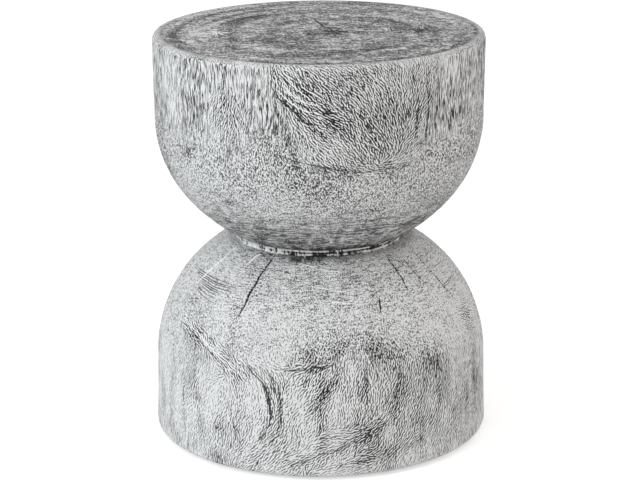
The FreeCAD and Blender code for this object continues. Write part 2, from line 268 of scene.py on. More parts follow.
def add_mark(mesh: bpy.types.Mesh, name: str, values: Array, ends: list[int]) -> None:
    """Writes a grid of values to a mesh as a point attribute, with an end row's mean at its cap."""
    vector = values.ndim == 3
    flat = values.reshape(-1, 3) if vector else values.reshape(-1)
    means = [values[end].mean(axis=0) for end in ends]
    if means:
        flat = np.concatenate([flat, np.array(means)])
    attribute = mesh.attributes.new(name, "FLOAT_VECTOR" if vector else "FLOAT", "POINT")
    attribute.data.foreach_set("vector" if vector else "value", flat.astype(np.float32).ravel())


def settle(piece: Piece, material: Material, slot: str, *nodes: str) -> None:
    """Dresses a new piece, hangs it on the root, and hides the nodes it stands for, saying which they are."""
    piece.data.materials.append(material)
    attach(piece, ROOT)
    if nodes:
        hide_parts(*nodes)
    stands_for = ", ".join(nodes) or "no node"
    LOG.info("%s: %d faces, stands for %s", piece.name, len(piece.data.polygons), stands_for)


def dress_node(node: str, material: Material) -> None:
    """Gives a CAD node that stays in view its finish."""
    materials = frame["nodes"][node].data.materials
    materials.clear()
    materials.append(material)
    LOG.info("%s: CAD node in %s", node, material.name)


# Shader wiring

class Wiring:
    """Adds nodes to one shader tree and joins their sockets."""

    def __init__(self, tree: bpy.types.NodeTree) -> None:
        """Keeps the tree."""
        self.tree = tree

    def feed(self, socket: Socket, source: Source) -> None:
        """Links a socket to another, or sets its value."""
        if isinstance(source, Socket):
            self.tree.links.new(source, socket)
        else:
            socket.default_value = source

    def fill(self, node: Node, inputs: dict) -> None:
        """Feeds a node's sockets, by name or number."""
        for name, source in inputs.items():
            self.feed(node.inputs[name], source)

    def add(self, kind: str, inputs: dict | None = None, **settings: object) -> Node:
        """Adds a node.

        Args:
            kind: the node's type name.
            inputs: what its sockets take, by name or number.
            settings: the node's own properties.

        Returns:
            The node.
        """
        node = self.tree.nodes.new(kind)
        for name, setting in settings.items():
            setattr(node, name, setting)
        self.fill(node, inputs or {})
        return node

    def math(self, operation: str, *sources: Source) -> Socket:
        """One sum of numbers."""
        return self.add("ShaderNodeMath", dict(enumerate(sources)), operation=operation).outputs[0]

    def vector(self, operation: str, *sources: Source) -> Socket:
        """One sum of vectors."""
        return self.add("ShaderNodeVectorMath", dict(enumerate(sources)), operation=operation).outputs[0]

    def remap(
        self, source: Source, low: Source, high: Source, to_low: float = 0.0, to_high: float = 1.0
    ) -> Socket:
        """A value eased from one range to another."""
        inputs = dict(enumerate((source, low, high, to_low, to_high)))
        return self.add("ShaderNodeMapRange", inputs, interpolation_type="SMOOTHSTEP").outputs[0]

    def mix_colour(self, share: Source, first: Source, second: Source) -> Socket:
        """A colour part of the way from one to another."""
        return self.add("ShaderNodeMix", {0: share, 6: first, 7: second}, data_type="RGBA").outputs[2]

    def mix_value(self, share: Source, first: Source, second: Source) -> Socket:
        """A number part of the way from one to another."""
        return self.add("ShaderNodeMix", {0: share, 2: first, 3: second}, data_type="FLOAT").outputs[0]

    def noise(
        self, place: Source, scale: Source, detail: float = 2.0, roughness: float = 0.5,
        distortion: float = 0.0,
    ) -> Socket:
        """Layered noise from 0 to 1."""
        return self.add("ShaderNodeTexNoise", {
            "Vector": place, "Scale": scale, "Detail": detail, "Roughness": roughness,
            "Distortion": distortion,
        }).outputs["Fac"]

    def ramp(self, source: Source, stops: tuple[tuple[float, Colour], ...]) -> Socket:
        """A colour read off a row of stops."""
        node = self.add("ShaderNodeValToRGB", {0: source})
        elements = node.color_ramp.elements
        while len(elements) < len(stops):
            elements.new(1.0)
        for element, (place, colour) in zip(elements, stops):
            element.position = place
            element.color = colour
        return node.outputs["Color"]

    def mark(self, name: str, output: str = "Fac") -> Socket:
        """A piece's own attribute."""
        return self.add("ShaderNodeAttribute", attribute_name=name, attribute_type="GEOMETRY").outputs[output]

    def object_place(self) -> Socket:
        """The place on the piece, in its own frame."""
        return self.add("ShaderNodeTexCoord").outputs["Object"]

    def bump(self, strength: float, distance: float, height: Socket) -> Socket:
        """The normal of a fine relief."""
        inputs = {"Strength": strength, "Distance": distance, "Height": height}
        return self.add("ShaderNodeBump", inputs).outputs["Normal"]

    def place(self, group: bpy.types.NodeTree, inputs: dict) -> Socket:
        """Puts a shared effect into this tree, and gives its result."""
        return self.add("ShaderNodeGroup", inputs, node_tree=group).outputs[0]


def new_effect(
    name: str, vectors: tuple[str, ...], values: dict[str, float], result: str
) -> tuple[Wiring, bpy.types.NodeOutputs, Socket]:
    """An empty shared effect.

    Args:
        name: the effect's name.
        vectors: its inputs that take vectors.
        values: its inputs that take numbers, with their starting values.
        result: its output, a number.

    Returns:
        Its wiring, what it is given and the socket of its result.
    """
    tree = bpy.data.node_groups.new(name, "ShaderNodeTree")
    for label in vectors:
        tree.interface.new_socket(label, in_out="INPUT", socket_type="NodeSocketVector")
    for label, start in values.items():
        socket = tree.interface.new_socket(label, in_out="INPUT", socket_type="NodeSocketFloat")
        socket.default_value = start
    tree.interface.new_socket(result, in_out="OUTPUT", socket_type="NodeSocketFloat")
    wiring = Wiring(tree)
    return wiring, wiring.add("NodeGroupInput").outputs, wiring.add("NodeGroupOutput").inputs[result]


class WoodEffects:
    """Effects that the wood and filler finishes share."""

    RING_EDGE = 0.12

    def __init__(self) -> None:
        """Builds each effect once."""
        self.waves = self.build_waves()
        self.pores = self.build_pores()
        self.rings = self.build_rings()
        self.mottle = self.build_mottle()

    @staticmethod
    def bite_off(wiring: Wiring, given: bpy.types.NodeOutputs, source: Socket) -> Socket:
        """Turns noise into pores: -1 where it lies below the middle less the lift, and 1 where above."""
        middle = wiring.math("SUBTRACT", 0.5, given["Lift"])
        low = wiring.math("SUBTRACT", middle, given["Softness"])
        high = wiring.math("ADD", middle, given["Softness"])
        return wiring.remap(source, low, high, -1.0, 1.0)

    @staticmethod
    def uneven(wiring: Wiring, place: Socket, scale: Source, detail: float, roughness: float = 0.5) -> Socket:
        """Noise about zero."""
        return wiring.math("SUBTRACT", wiring.noise(place, scale, detail, roughness), 0.5)

    @classmethod
    def build_waves(cls) -> bpy.types.NodeTree:
        """Pores in leaning rows: waves along the given direction, broken into dashes by a finer noise."""
        values = {
            "Scale": 240, "Fineness": 1.2, "Dash": 1, "Softness": 0.1, "Lift": 0, "Breaks": 150, "Break": 0.5,
        }
        wiring, given, level = new_effect("pore_waves", ("Place", "Across"), values, "Level")
        waves = wiring.add("ShaderNodeTexGabor", {
            "Vector": given["Place"], "Scale": given["Scale"], "Frequency": given["Fineness"],
            "Anisotropy": given["Dash"], 5: given["Across"],
        }, gabor_type="3D")
        breaks = cls.uneven(wiring, given["Place"], given["Breaks"], detail=1.0)
        broken = wiring.math("MULTIPLY_ADD", breaks, given["Break"], waves.outputs["Value"])
        wiring.feed(level, cls.bite_off(wiring, given, broken))
        return wiring.tree

    @classmethod
    def build_pores(cls) -> bpy.types.NodeTree:
        """Open pores: noise drawn out along Z."""
        values = {"Across": 600, "Along": 80, "Softness": 0.15, "Lift": 0}
        wiring, given, level = new_effect("open_pores", ("Place",), values, "Level")
        sizes = {0: given["Across"], 1: given["Across"], 2: given["Along"]}
        stretch = wiring.add("ShaderNodeCombineXYZ", sizes).outputs[0]
        place = wiring.vector("MULTIPLY", given["Place"], stretch)
        noise = wiring.noise(place, 1.0, detail=1.5, roughness=0.6, distortion=0.2)
        wiring.feed(level, cls.bite_off(wiring, given, noise))
        return wiring.tree

    @classmethod
    def build_rings(cls) -> bpy.types.NodeTree:
        """Growth rings: a dark edge at each whole number of rings, fading outwards, uneven in strength."""
        wiring, given, mask = new_effect("growth_rings", (), {"Rings": 0, "Fade": 0.6}, "Mask")
        part = wiring.math("FRACT", given["Rings"])
        number = wiring.math("FLOOR", given["Rings"])
        strength = wiring.add("ShaderNodeTexWhiteNoise", {"W": number}, noise_dimensions="1D")
        rise = wiring.remap(part, 0.0, cls.RING_EDGE)
        fall = wiring.remap(part, cls.RING_EDGE, given["Fade"], 1.0, 0.0)
        edge = wiring.math("MULTIPLY", rise, fall)
        wiring.feed(mask, wiring.math("MULTIPLY", edge, strength.outputs["Value"]))
        return wiring.tree

    @classmethod
    def build_mottle(cls) -> bpy.types.NodeTree:
        """Uneven wash: broad clouds and fine speckle added to a level."""
        values = {"Clouds": 0.2, "Speckle": 0.2}
        wiring, given, level = new_effect("uneven_wash", ("Place",), values, "Level")
        clouds = cls.uneven(wiring, given["Place"], scale=60, detail=3, roughness=0.65)
        speckle = cls.uneven(wiring, given["Place"], scale=500, detail=2, roughness=0.7)
        broad = wiring.math("MULTIPLY", clouds, given["Clouds"])
        fine = wiring.math("MULTIPLY", speckle, given["Speckle"])
        wiring.feed(level, wiring.math("ADD", broad, fine))
        return wiring.tree


# Finishes

def new_material(name: str) -> tuple[Material, Wiring, Node]:
    """An empty material, with its wiring and its Principled shader."""
    material = bpy.data.materials.new(name)
    material.use_nodes = True
    return material, Wiring(material.node_tree), material.node_tree.nodes["Principled BSDF"]


@dataclass(frozen=True)
class PoreSize:
    """How many open pores there are in a metre across and along the grain, and how soft their edges are."""

    across: float
    along: float
    softness: float


@dataclass(frozen=True)
class WhitewashedWood:
    """Open-grained wood, brushed and washed white, with grey showing through and dark pores."""

    effects: WoodEffects
    dots: PoreSize = PoreSize(760.0, 360.0, 0.065)
    dashes: PoreSize = PoreSize(820.0, 75.0, 0.065)
    bands: PoreSize = PoreSize(13.0, 520.0, 0.11)
    wave_scale: float = 280.0
    wave_fineness: float = 1.22
    wave_dash: float = 0.85
    wave_softness: float = 0.06
    wave_breaks: float = 260.0
    wave_break: float = 0.22
    wave_lift: float = 0.13
    tone_lift: float = 0.085
    tone_shade: float = 0.16
    ring_shade: float = 0.12
    ring_fade: float = 0.75
    pore_shade: float = 0.42
    clouds: float = 0.40
    speckle: float = 0.55
    level: float = 0.74
    roughness: float = 0.8
    shine: float = 0.2
    stops: tuple[tuple[float, Colour], ...] = (
        (0.0, grey(0.020)), (0.25, grey(0.085)), (0.50, grey(0.27)), (0.75, grey(0.53)), (1.0, grey(0.80)),
    )

    def build(self) -> Material:
        """Wires the material: pores, rings, wash and checks, from the piece's own attributes."""
        material, wiring, shader = new_material("whitewashed_wood")
        place = wiring.object_place()
        tone = wiring.mark("tone")
        bitten = wiring.math("MULTIPLY", self.pores(wiring, place, tone), wiring.mark("bite"))
        rings = wiring.place(self.effects.rings, {"Rings": wiring.mark("rings"), "Fade": self.ring_fade})
        wash = {"Place": place, "Clouds": self.clouds, "Speckle": self.speckle}
        level = wiring.math("ADD", wiring.place(self.effects.mottle, wash), self.level)
        level = wiring.math("ADD", level, wiring.math("MULTIPLY", tone, self.tone_shade))
        level = wiring.math("SUBTRACT", level, wiring.math("MULTIPLY", rings, self.ring_shade))
        level = wiring.math("ADD", level, wiring.math("MULTIPLY", bitten, self.pore_shade))
        level = wiring.math("SUBTRACT", level, wiring.mark("check"))
        wiring.fill(shader, {
            "Base Color": wiring.ramp(level, self.stops), "Roughness": self.roughness,
            "Specular IOR Level": self.shine,
        })
        return material

    def pores(self, wiring: Wiring, place: Socket, tone: Socket) -> Socket:
        """Dots on sloping grain, dashes on long grain, bands at the neck and rows where the grain swirls."""
        lift = wiring.math("MULTIPLY", tone, self.tone_lift)
        kinds = ((self.dots, "grain_place"), (self.dashes, "grain_place"), (self.bands, "band_place"))
        dots, dashes, bands = (
            wiring.place(self.effects.pores, {
                "Place": wiring.mark(mark, "Vector"), "Across": size.across, "Along": size.along,
                "Softness": size.softness, "Lift": lift,
            })
            for size, mark in kinds
        )
        waves = wiring.place(self.effects.waves, {
            "Place": place, "Across": wiring.mark("across", "Vector"), "Scale": self.wave_scale,
            "Fineness": self.wave_fineness, "Dash": self.wave_dash, "Softness": self.wave_softness,
            "Lift": wiring.math("MULTIPLY", tone, self.wave_lift), "Breaks": self.wave_breaks,
            "Break": self.wave_break,
        })
        straight = wiring.mix_value(wiring.mark("long_share"), dots, dashes)
        straight = wiring.mix_value(wiring.mark("neck_share"), straight, bands)
        return wiring.mix_value(wiring.mark("wave_share"), straight, waves)


@dataclass(frozen=True)
class FillerPaste:
    """Sawdust and glue paste: rough, whitewashed on its crests and dark in its hollows; its dark also paints
    shade where the bead's edges meet the bowl and the dome.
    """

    effects: WoodEffects
    crest: Colour = grey(0.93)
    # The dark colour: the seam, open checks and hollows, and painted shade at the bead's edges.
    hollow_and_shade: Colour = grey(0.035)
    hollow_and_shade_to: float = 0.35
    crest_from: float = 0.85
    clouds: float = 0.5
    speckle: float = 0.5
    grains: float = 900.0
    grain_strength: float = 0.5
    grain_height: float = 0.3 * MM
    roughness: float = 0.85
    shine: float = 0.2

    def build(self) -> Material:
        """Wires the material from the piece's own crest attribute."""
        material, wiring, shader = new_material("filler_paste")
        place = wiring.object_place()
        wash = {"Place": place, "Clouds": self.clouds, "Speckle": self.speckle}
        crest = wiring.math("ADD", wiring.mark("crest"), wiring.place(self.effects.mottle, wash))
        whitened = wiring.remap(crest, self.hollow_and_shade_to, self.crest_from)
        grains = wiring.noise(place, self.grains, detail=3)
        wiring.fill(shader, {
            "Base Color": wiring.mix_colour(whitened, self.hollow_and_shade, self.crest), "Roughness": self.roughness,
            "Specular IOR Level": self.shine,
            "Normal": wiring.bump(self.grain_strength, self.grain_height, grains),
        })
        return material


@dataclass(frozen=True)
class ZincSteel:
    """Zinc-plated steel with a faint spangle."""

    bright: Colour = grey(0.62, -0.02)
    dull: Colour = grey(0.40, -0.02)
    spangle: float = 350.0
    spangle_span: Pair = (0.3, 0.7)
    smooth: float = 0.32
    rough: float = 0.5

    def build(self) -> Material:
        """Wires the material."""
        material, wiring, shader = new_material("zinc_steel")
        spangle = wiring.noise(wiring.object_place(), self.spangle, detail=3)
        wiring.fill(shader, {
            "Base Color": wiring.mix_colour(spangle, self.dull, self.bright),
            "Roughness": wiring.remap(spangle, *self.spangle_span, self.smooth, self.rough), "Metallic": 1.0,
        })
        return material


@dataclass(frozen=True)
class BeechDowel:
    """Bare beech with fine flecks along the peg."""

    wood: Colour = (0.52, 0.34, 0.19, 1.0)
    fleck: Colour = (0.30, 0.17, 0.08, 1.0)
    flecks: Triple = (1400.0, 1400.0, 260.0)
    fleck_span: Pair = (0.35, 0.55)
    roughness: float = 0.6

    def build(self) -> Material:
        """Wires the material."""
        material, wiring, shader = new_material("beech_dowel")
        grain = wiring.vector("MULTIPLY", wiring.object_place(), self.flecks)
        flecks = wiring.remap(wiring.noise(grain, 1.0), *self.fleck_span, 1.0, 0.0)
        wiring.fill(shader, {
            "Base Color": wiring.mix_colour(flecks, self.wood, self.fleck), "Roughness": self.roughness,
        })
        return material


@dataclass(frozen=True)
class MouldedPlastic:
    """Matt black moulded plastic with a fine spark-eroded texture."""

    colour: Colour = grey(0.022)
    scuff: Colour = grey(0.05)
    scuffs: float = 220.0
    scuff_span: Pair = (0.5, 0.75)
    worn_span: Pair = (0.3, 0.7)
    texture: float = 2500.0
    texture_strength: float = 0.25
    texture_height: float = 0.1 * MM
    smooth: float = 0.45
    rough: float = 0.65

    def build(self) -> Material:
        """Wires the material."""
        material, wiring, shader = new_material("moulded_plastic")
        place = wiring.object_place()
        scuffs = wiring.noise(place, self.scuffs, detail=4, roughness=0.65)
        texture = wiring.noise(place, self.texture, detail=1)
        wiring.fill(shader, {
            "Base Color": wiring.mix_colour(wiring.remap(scuffs, *self.scuff_span), self.colour, self.scuff),
            "Roughness": wiring.remap(scuffs, *self.worn_span, self.smooth, self.rough),
            "Normal": wiring.bump(self.texture_strength, self.texture_height, texture),
        })
        return material


# The two turned halves

@dataclass(frozen=True)
class HalfOutline:
    """Section of one turned half, as radius and rise, where rise is the distance from the waist plane."""

    end_rise: float
    end_radius: float
    end_round: float
    shoulder_rise: float
    shoulder_radius: float
    turn_across_share: float
    turn_rise_share: float
    neck_rise: float
    neck_radius: float
    dense: int = 200

    def side(self, spacing: float) -> Array:
        """From the foot of the end's round edge to the neck: wall, upright shoulder arc, tangent arc."""
        neck = np.array([self.neck_radius, self.neck_rise])
        shoulder = np.array([self.shoulder_radius, self.shoulder_rise])
        corner = neck + (shoulder - neck) * np.array([self.turn_across_share, self.turn_rise_share])
        across, along = shoulder - corner
        bend = (across**2 + along**2) / (2 * across)
        centre = shoulder - np.array([bend, 0])
        inward = (centre - corner) / bend
        chord = neck - corner
        last_bend = chord @ chord / (2 * inward @ chord)
        last_centre = corner + inward * last_bend
        first_angle, last_angle = (math.atan2(*(point - last_centre)[::-1]) for point in (corner, neck))
        wall = line((self.end_radius, self.end_rise - self.end_round), tuple(shoulder), self.dense)
        shoulder_arc = arc(centre, bend, 0, -math.asin(along / bend), self.dense)[:-1]
        last_arc = arc(last_centre, last_bend, first_angle, last_angle, self.dense)
        return resample(np.vstack([wall, shoulder_arc, last_arc]), spacing)

    def edge(self, count: int) -> Array:
        """The round edge of the flat end, from the flat towards the wall, without its last point."""
        centre = np.array([self.end_radius - self.end_round, self.end_rise - self.end_round])
        return arc(centre, self.end_round, math.pi / 2, 0, count + 1)[:-1]


@dataclass(frozen=True)
class Check:
    """A drying check: places down the side as azimuth in degrees and height, its width and its depth."""

    places: Places
    width: float
    depth: float
    wobble: float = 1.4 * MM
    wobble_length: float = 8 * MM
    taper_share: float = 0.35
    taper_power: float = 0.4
    dark_share: float = 0.35
    least_half: float = 1e-6
    noise_seed: int = 5

    def cut(self, number: int, azimuth: Array, radius: Array, height: Array) -> tuple[Array, Array]:
        """Its depth at each place and how dark it is: a vee about a ragged line, tapered at both ends."""
        places = np.array(sorted(self.places, key=lambda place: place[1]))
        low, high = places[0, 1], places[-1, 1]
        ragged = line_noise(height / self.wobble_length, number, self.noise_seed, 3)
        centre = np.radians(np.interp(height, places[:, 1], places[:, 0])) + ragged * self.wobble / radius
        inside = np.minimum(height - low, high - height) / (self.taper_share * (high - low))
        taper = np.clip(inside, 0, 1) ** self.taper_power
        half = np.maximum(self.width / 2 * taper, self.least_half)
        share = np.clip(1 - np.abs(azimuth - centre) * radius / half, 0, 1) * (taper > 0)
        return share * self.depth * taper, smooth_step(0.0, self.dark_share, share)


def run_distance(aside: Array, above: Array, run: Array, climb: float) -> Array:
    """Distance to a straight run from its start, where both offsets are from that start."""
    along = np.clip((aside * run + above * climb) / (run**2 + climb**2), 0, 1)
    return np.hypot(aside - along * run, above - along * climb)


def runs(places: Places, azimuth: Array, radius: Array, height: Array) -> Iterator[tuple[Array, Array]]:
    """The distance to each straight run of a line on the surface, and the run's lean from the upright."""
    for (start_azimuth, start_height), (end_azimuth, end_height) in itertools.pairwise(places):
        aside = (azimuth - math.radians(start_azimuth)) * radius
        run = math.radians(end_azimuth - start_azimuth) * radius
        climb = end_height - start_height
        yield run_distance(aside, height - start_height, run, climb), np.arctan2(run, climb)


@dataclass(frozen=True)
class Patch:
    """A patch of the surface where something is stronger or, below zero, weaker.

    It lies at an azimuth in degrees and a height, and fades as a bell over its half sizes.
    """

    azimuth: float
    height: float
    half_width: float
    half_height: float
    amount: float

    def share(self, azimuth: Array, radius: Array, height: Array) -> Array:
        """The patch's amount at each place."""
        aside = (azimuth - math.radians(self.azimuth)) * radius / self.half_width
        above = (height - self.height) / self.half_height
        return self.amount * np.exp(-(aside**2) - above**2)


@dataclass(frozen=True)
class Streak:
    """A line on the surface along which something is stronger or, below zero, weaker.

    Its places are azimuths in degrees and heights, and it fades as a bell over its half width.
    """

    places: Places
    half_width: float
    amount: float

    def share(self, azimuth: Array, radius: Array, height: Array) -> Array:
        """The streak's amount at each place, by the distance to its nearest run."""
        nearest = np.full(azimuth.shape, np.inf)
        for distance, _ in runs(self.places, azimuth, radius, height):
            nearest = np.minimum(nearest, distance)
        return self.amount * np.exp(-((nearest / self.half_width) ** 2))


Spots = tuple[Patch | Streak, ...]


def patched(spots: Spots, azimuth: Array, radius: Array, height: Array) -> Array:
    """The amounts of patches and streaks together at each place."""
    return sum((spot.share(azimuth, radius, height) for spot in spots), np.zeros(azimuth.shape))


@dataclass(frozen=True)
class Flow:
    """A line on the surface that the grain beside it follows, at azimuths in degrees and heights."""

    places: Places
    half_width: float

    def pull(self, azimuth: Array, radius: Array, height: Array) -> Array:
        """How far the line turns the grain: a bell about each run, as a complex number at twice its lean."""
        total = np.zeros(azimuth.shape, dtype=complex)
        for distance, lean in runs(self.places, azimuth, radius, height):
            total += np.exp(-((distance / self.half_width) ** 2)) * np.exp(2j * lean)
        return total


@dataclass(frozen=True)
class EndStreak:
    """A line on a flat end along which the wash is paler or, below zero, darker.

    Its places are X and Y in millimetres.
    """

    places: Places
    half_width: float
    amount: float

    def share(self, across: Array, beyond: Array) -> Array:
        """The streak's amount at each place."""
        nearest = np.full(across.shape, np.inf)
        for start, end in itertools.pairwise(np.array(self.places) * MM):
            run, climb = end - start
            nearest = np.minimum(nearest, run_distance(across - start[0], beyond - start[1], run, climb))
        return self.amount * np.exp(-((nearest / self.half_width) ** 2))


def blend_leans(first: Array, second: Array, share: Array) -> Array:
    """A lean part of the way from one to another, where half a turn makes no difference."""
    return np.angle((1 - share) * np.exp(2j * first) + share * np.exp(2j * second)) / 2


@dataclass(frozen=True)
class Swirl:
    """Grain that leans round a knot at the rim: slanting dashes inside a rounded vee of lines."""

    azimuth: float
    height: float
    half_width: float
    half_height: float
    roundness: float = 1.5
    inner_lean: float = -54.0
    ring_count: float = 14.0
    waver: float = 0.05
    waver_length: float = 30 * MM
    waver_seed: int = 71
    edge_reach: Pair = (0.72, 0.97)
    lean_across: Pair = (1.05, -0.3)
    fade_reach: Pair = (1.32, 0.86)
    fade_drop: Pair = (1.15, 0.6)

    def field(self, azimuth: Array, radius: Array, height: Array) -> tuple[Array, Array, Array]:
        """The swirl's lean, rings and how far they take over.

        The vee is an oval of a low power, and a place's reach is one on it. Grain runs along the vee at
        its edge, and inside it from one lean at the left to upright at the right. The rings are counted
        by the reach.

        Args:
            azimuth: azimuth of each place.
            radius: distance from the turning axis.
            height: height above the floor.

        Returns:
            The lean in radians from the upright, the ring number and the share from 0 to 1.
        """
        across = (azimuth - math.radians(self.azimuth)) * radius
        drop = np.maximum(self.height - height, 0) / self.half_height
        side = np.abs(across) / self.half_width
        power = self.roundness
        places = np.stack([across, height, radius], axis=-1)
        waver = layered_noise(places / self.waver_length, self.waver_seed)
        reach = (side**power + drop**power) ** (1 / power) + self.waver * waver
        fall = drop ** (power - 1) / self.half_height
        spread = side ** (power - 1) / self.half_width * np.sign(across)
        edge_lean = np.arctan2(fall, spread)
        inner_lean = math.radians(self.inner_lean) * smooth_step(*self.lean_across, across / self.half_width)
        lean = blend_leans(inner_lean, edge_lean, smooth_step(*self.edge_reach, reach))
        share = smooth_step(*self.fade_reach, reach) * smooth_step(*self.fade_drop, drop)
        return lean, reach * self.ring_count, share


def check_columns(
    count: int, azimuths: list[float], spread: float, gain: float, fine_steps: int = 7200
) -> Array:
    """Azimuths round the table, closer together where checks run.

    The columns share out the area under a density of one plus a bell at each check.

    Args:
        count: how many columns.
        azimuths: where the checks run, in radians.
        spread: half width of each bell, in radians.
        gain: how much denser the columns are at a check.
        fine_steps: how finely the area is counted.

    Returns:
        The azimuths in rising order.
    """
    fine = np.linspace(-math.pi, math.pi, fine_steps + 1)
    bells = np.exp(-(((fine[:, None] - np.array(azimuths)[None, :]) / spread) ** 2))
    density = 1 + gain * bells.max(axis=1, initial=0)
    area = np.concatenate([[0], np.cumsum((density[1:] + density[:-1]) / 2)])
    return np.interp(np.linspace(0, area[-1], count, endpoint=False), area, fine)


@dataclass(frozen=True)
class Figure:
    """What is drawn on one half.

    Wash and shade spots shift the tone of the wash, bites the contrast of the pores and combs the share of
    pores that stand in rows. Flows turn those rows. Leans tilt the long grain, by degrees. Some wash and
    shade spots are painted shade, under the bowl and round the bead.
    """

    checks: tuple[Check, ...] = ()
    wash_and_shade: Spots = ()
    bites: Spots = ()
    leans: Spots = ()
    combs: Spots = ()
    flows: tuple[Flow, ...] = ()
    end_streaks: tuple[EndStreak, ...] = ()
    swirl: Swirl | None = None


@dataclass(frozen=True)
class GrainLevels:
    """How strongly each part of the grain shows, and where one gives way to another."""

    long_fade: float = 40 * MM
    long_shift: float = 26 * MM
    neck_from: float = 115 * MM
    neck_full: float = 35 * MM
    neck_shift: float = 12 * MM
    most_waves: float = 0.92
    swirl_waves: float = 0.72
    upright_pull: float = 0.5
    lean_waver: float = 0.2
    bite: float = 1.2
    long_bite: float = -0.1
    wave_bite: float = 0.12
    clump_bite: float = 0.35
    clump_shade: float = 0.3
    wave_clump_shade: float = 0.1
    cloud_tone: float = 0.18
    figure_tone: float = 0.75
    figure_breaks: float = 0.6
    flat_bite: float = 0.85
    flat_long_share: float = 0.5
    flat_drawn_out: float = 0.2
    flat_bands: float = 0.55
    rim_tone: float = -0.3
    edge_tone: float = 0.1
    edge_bite: float = 0.8


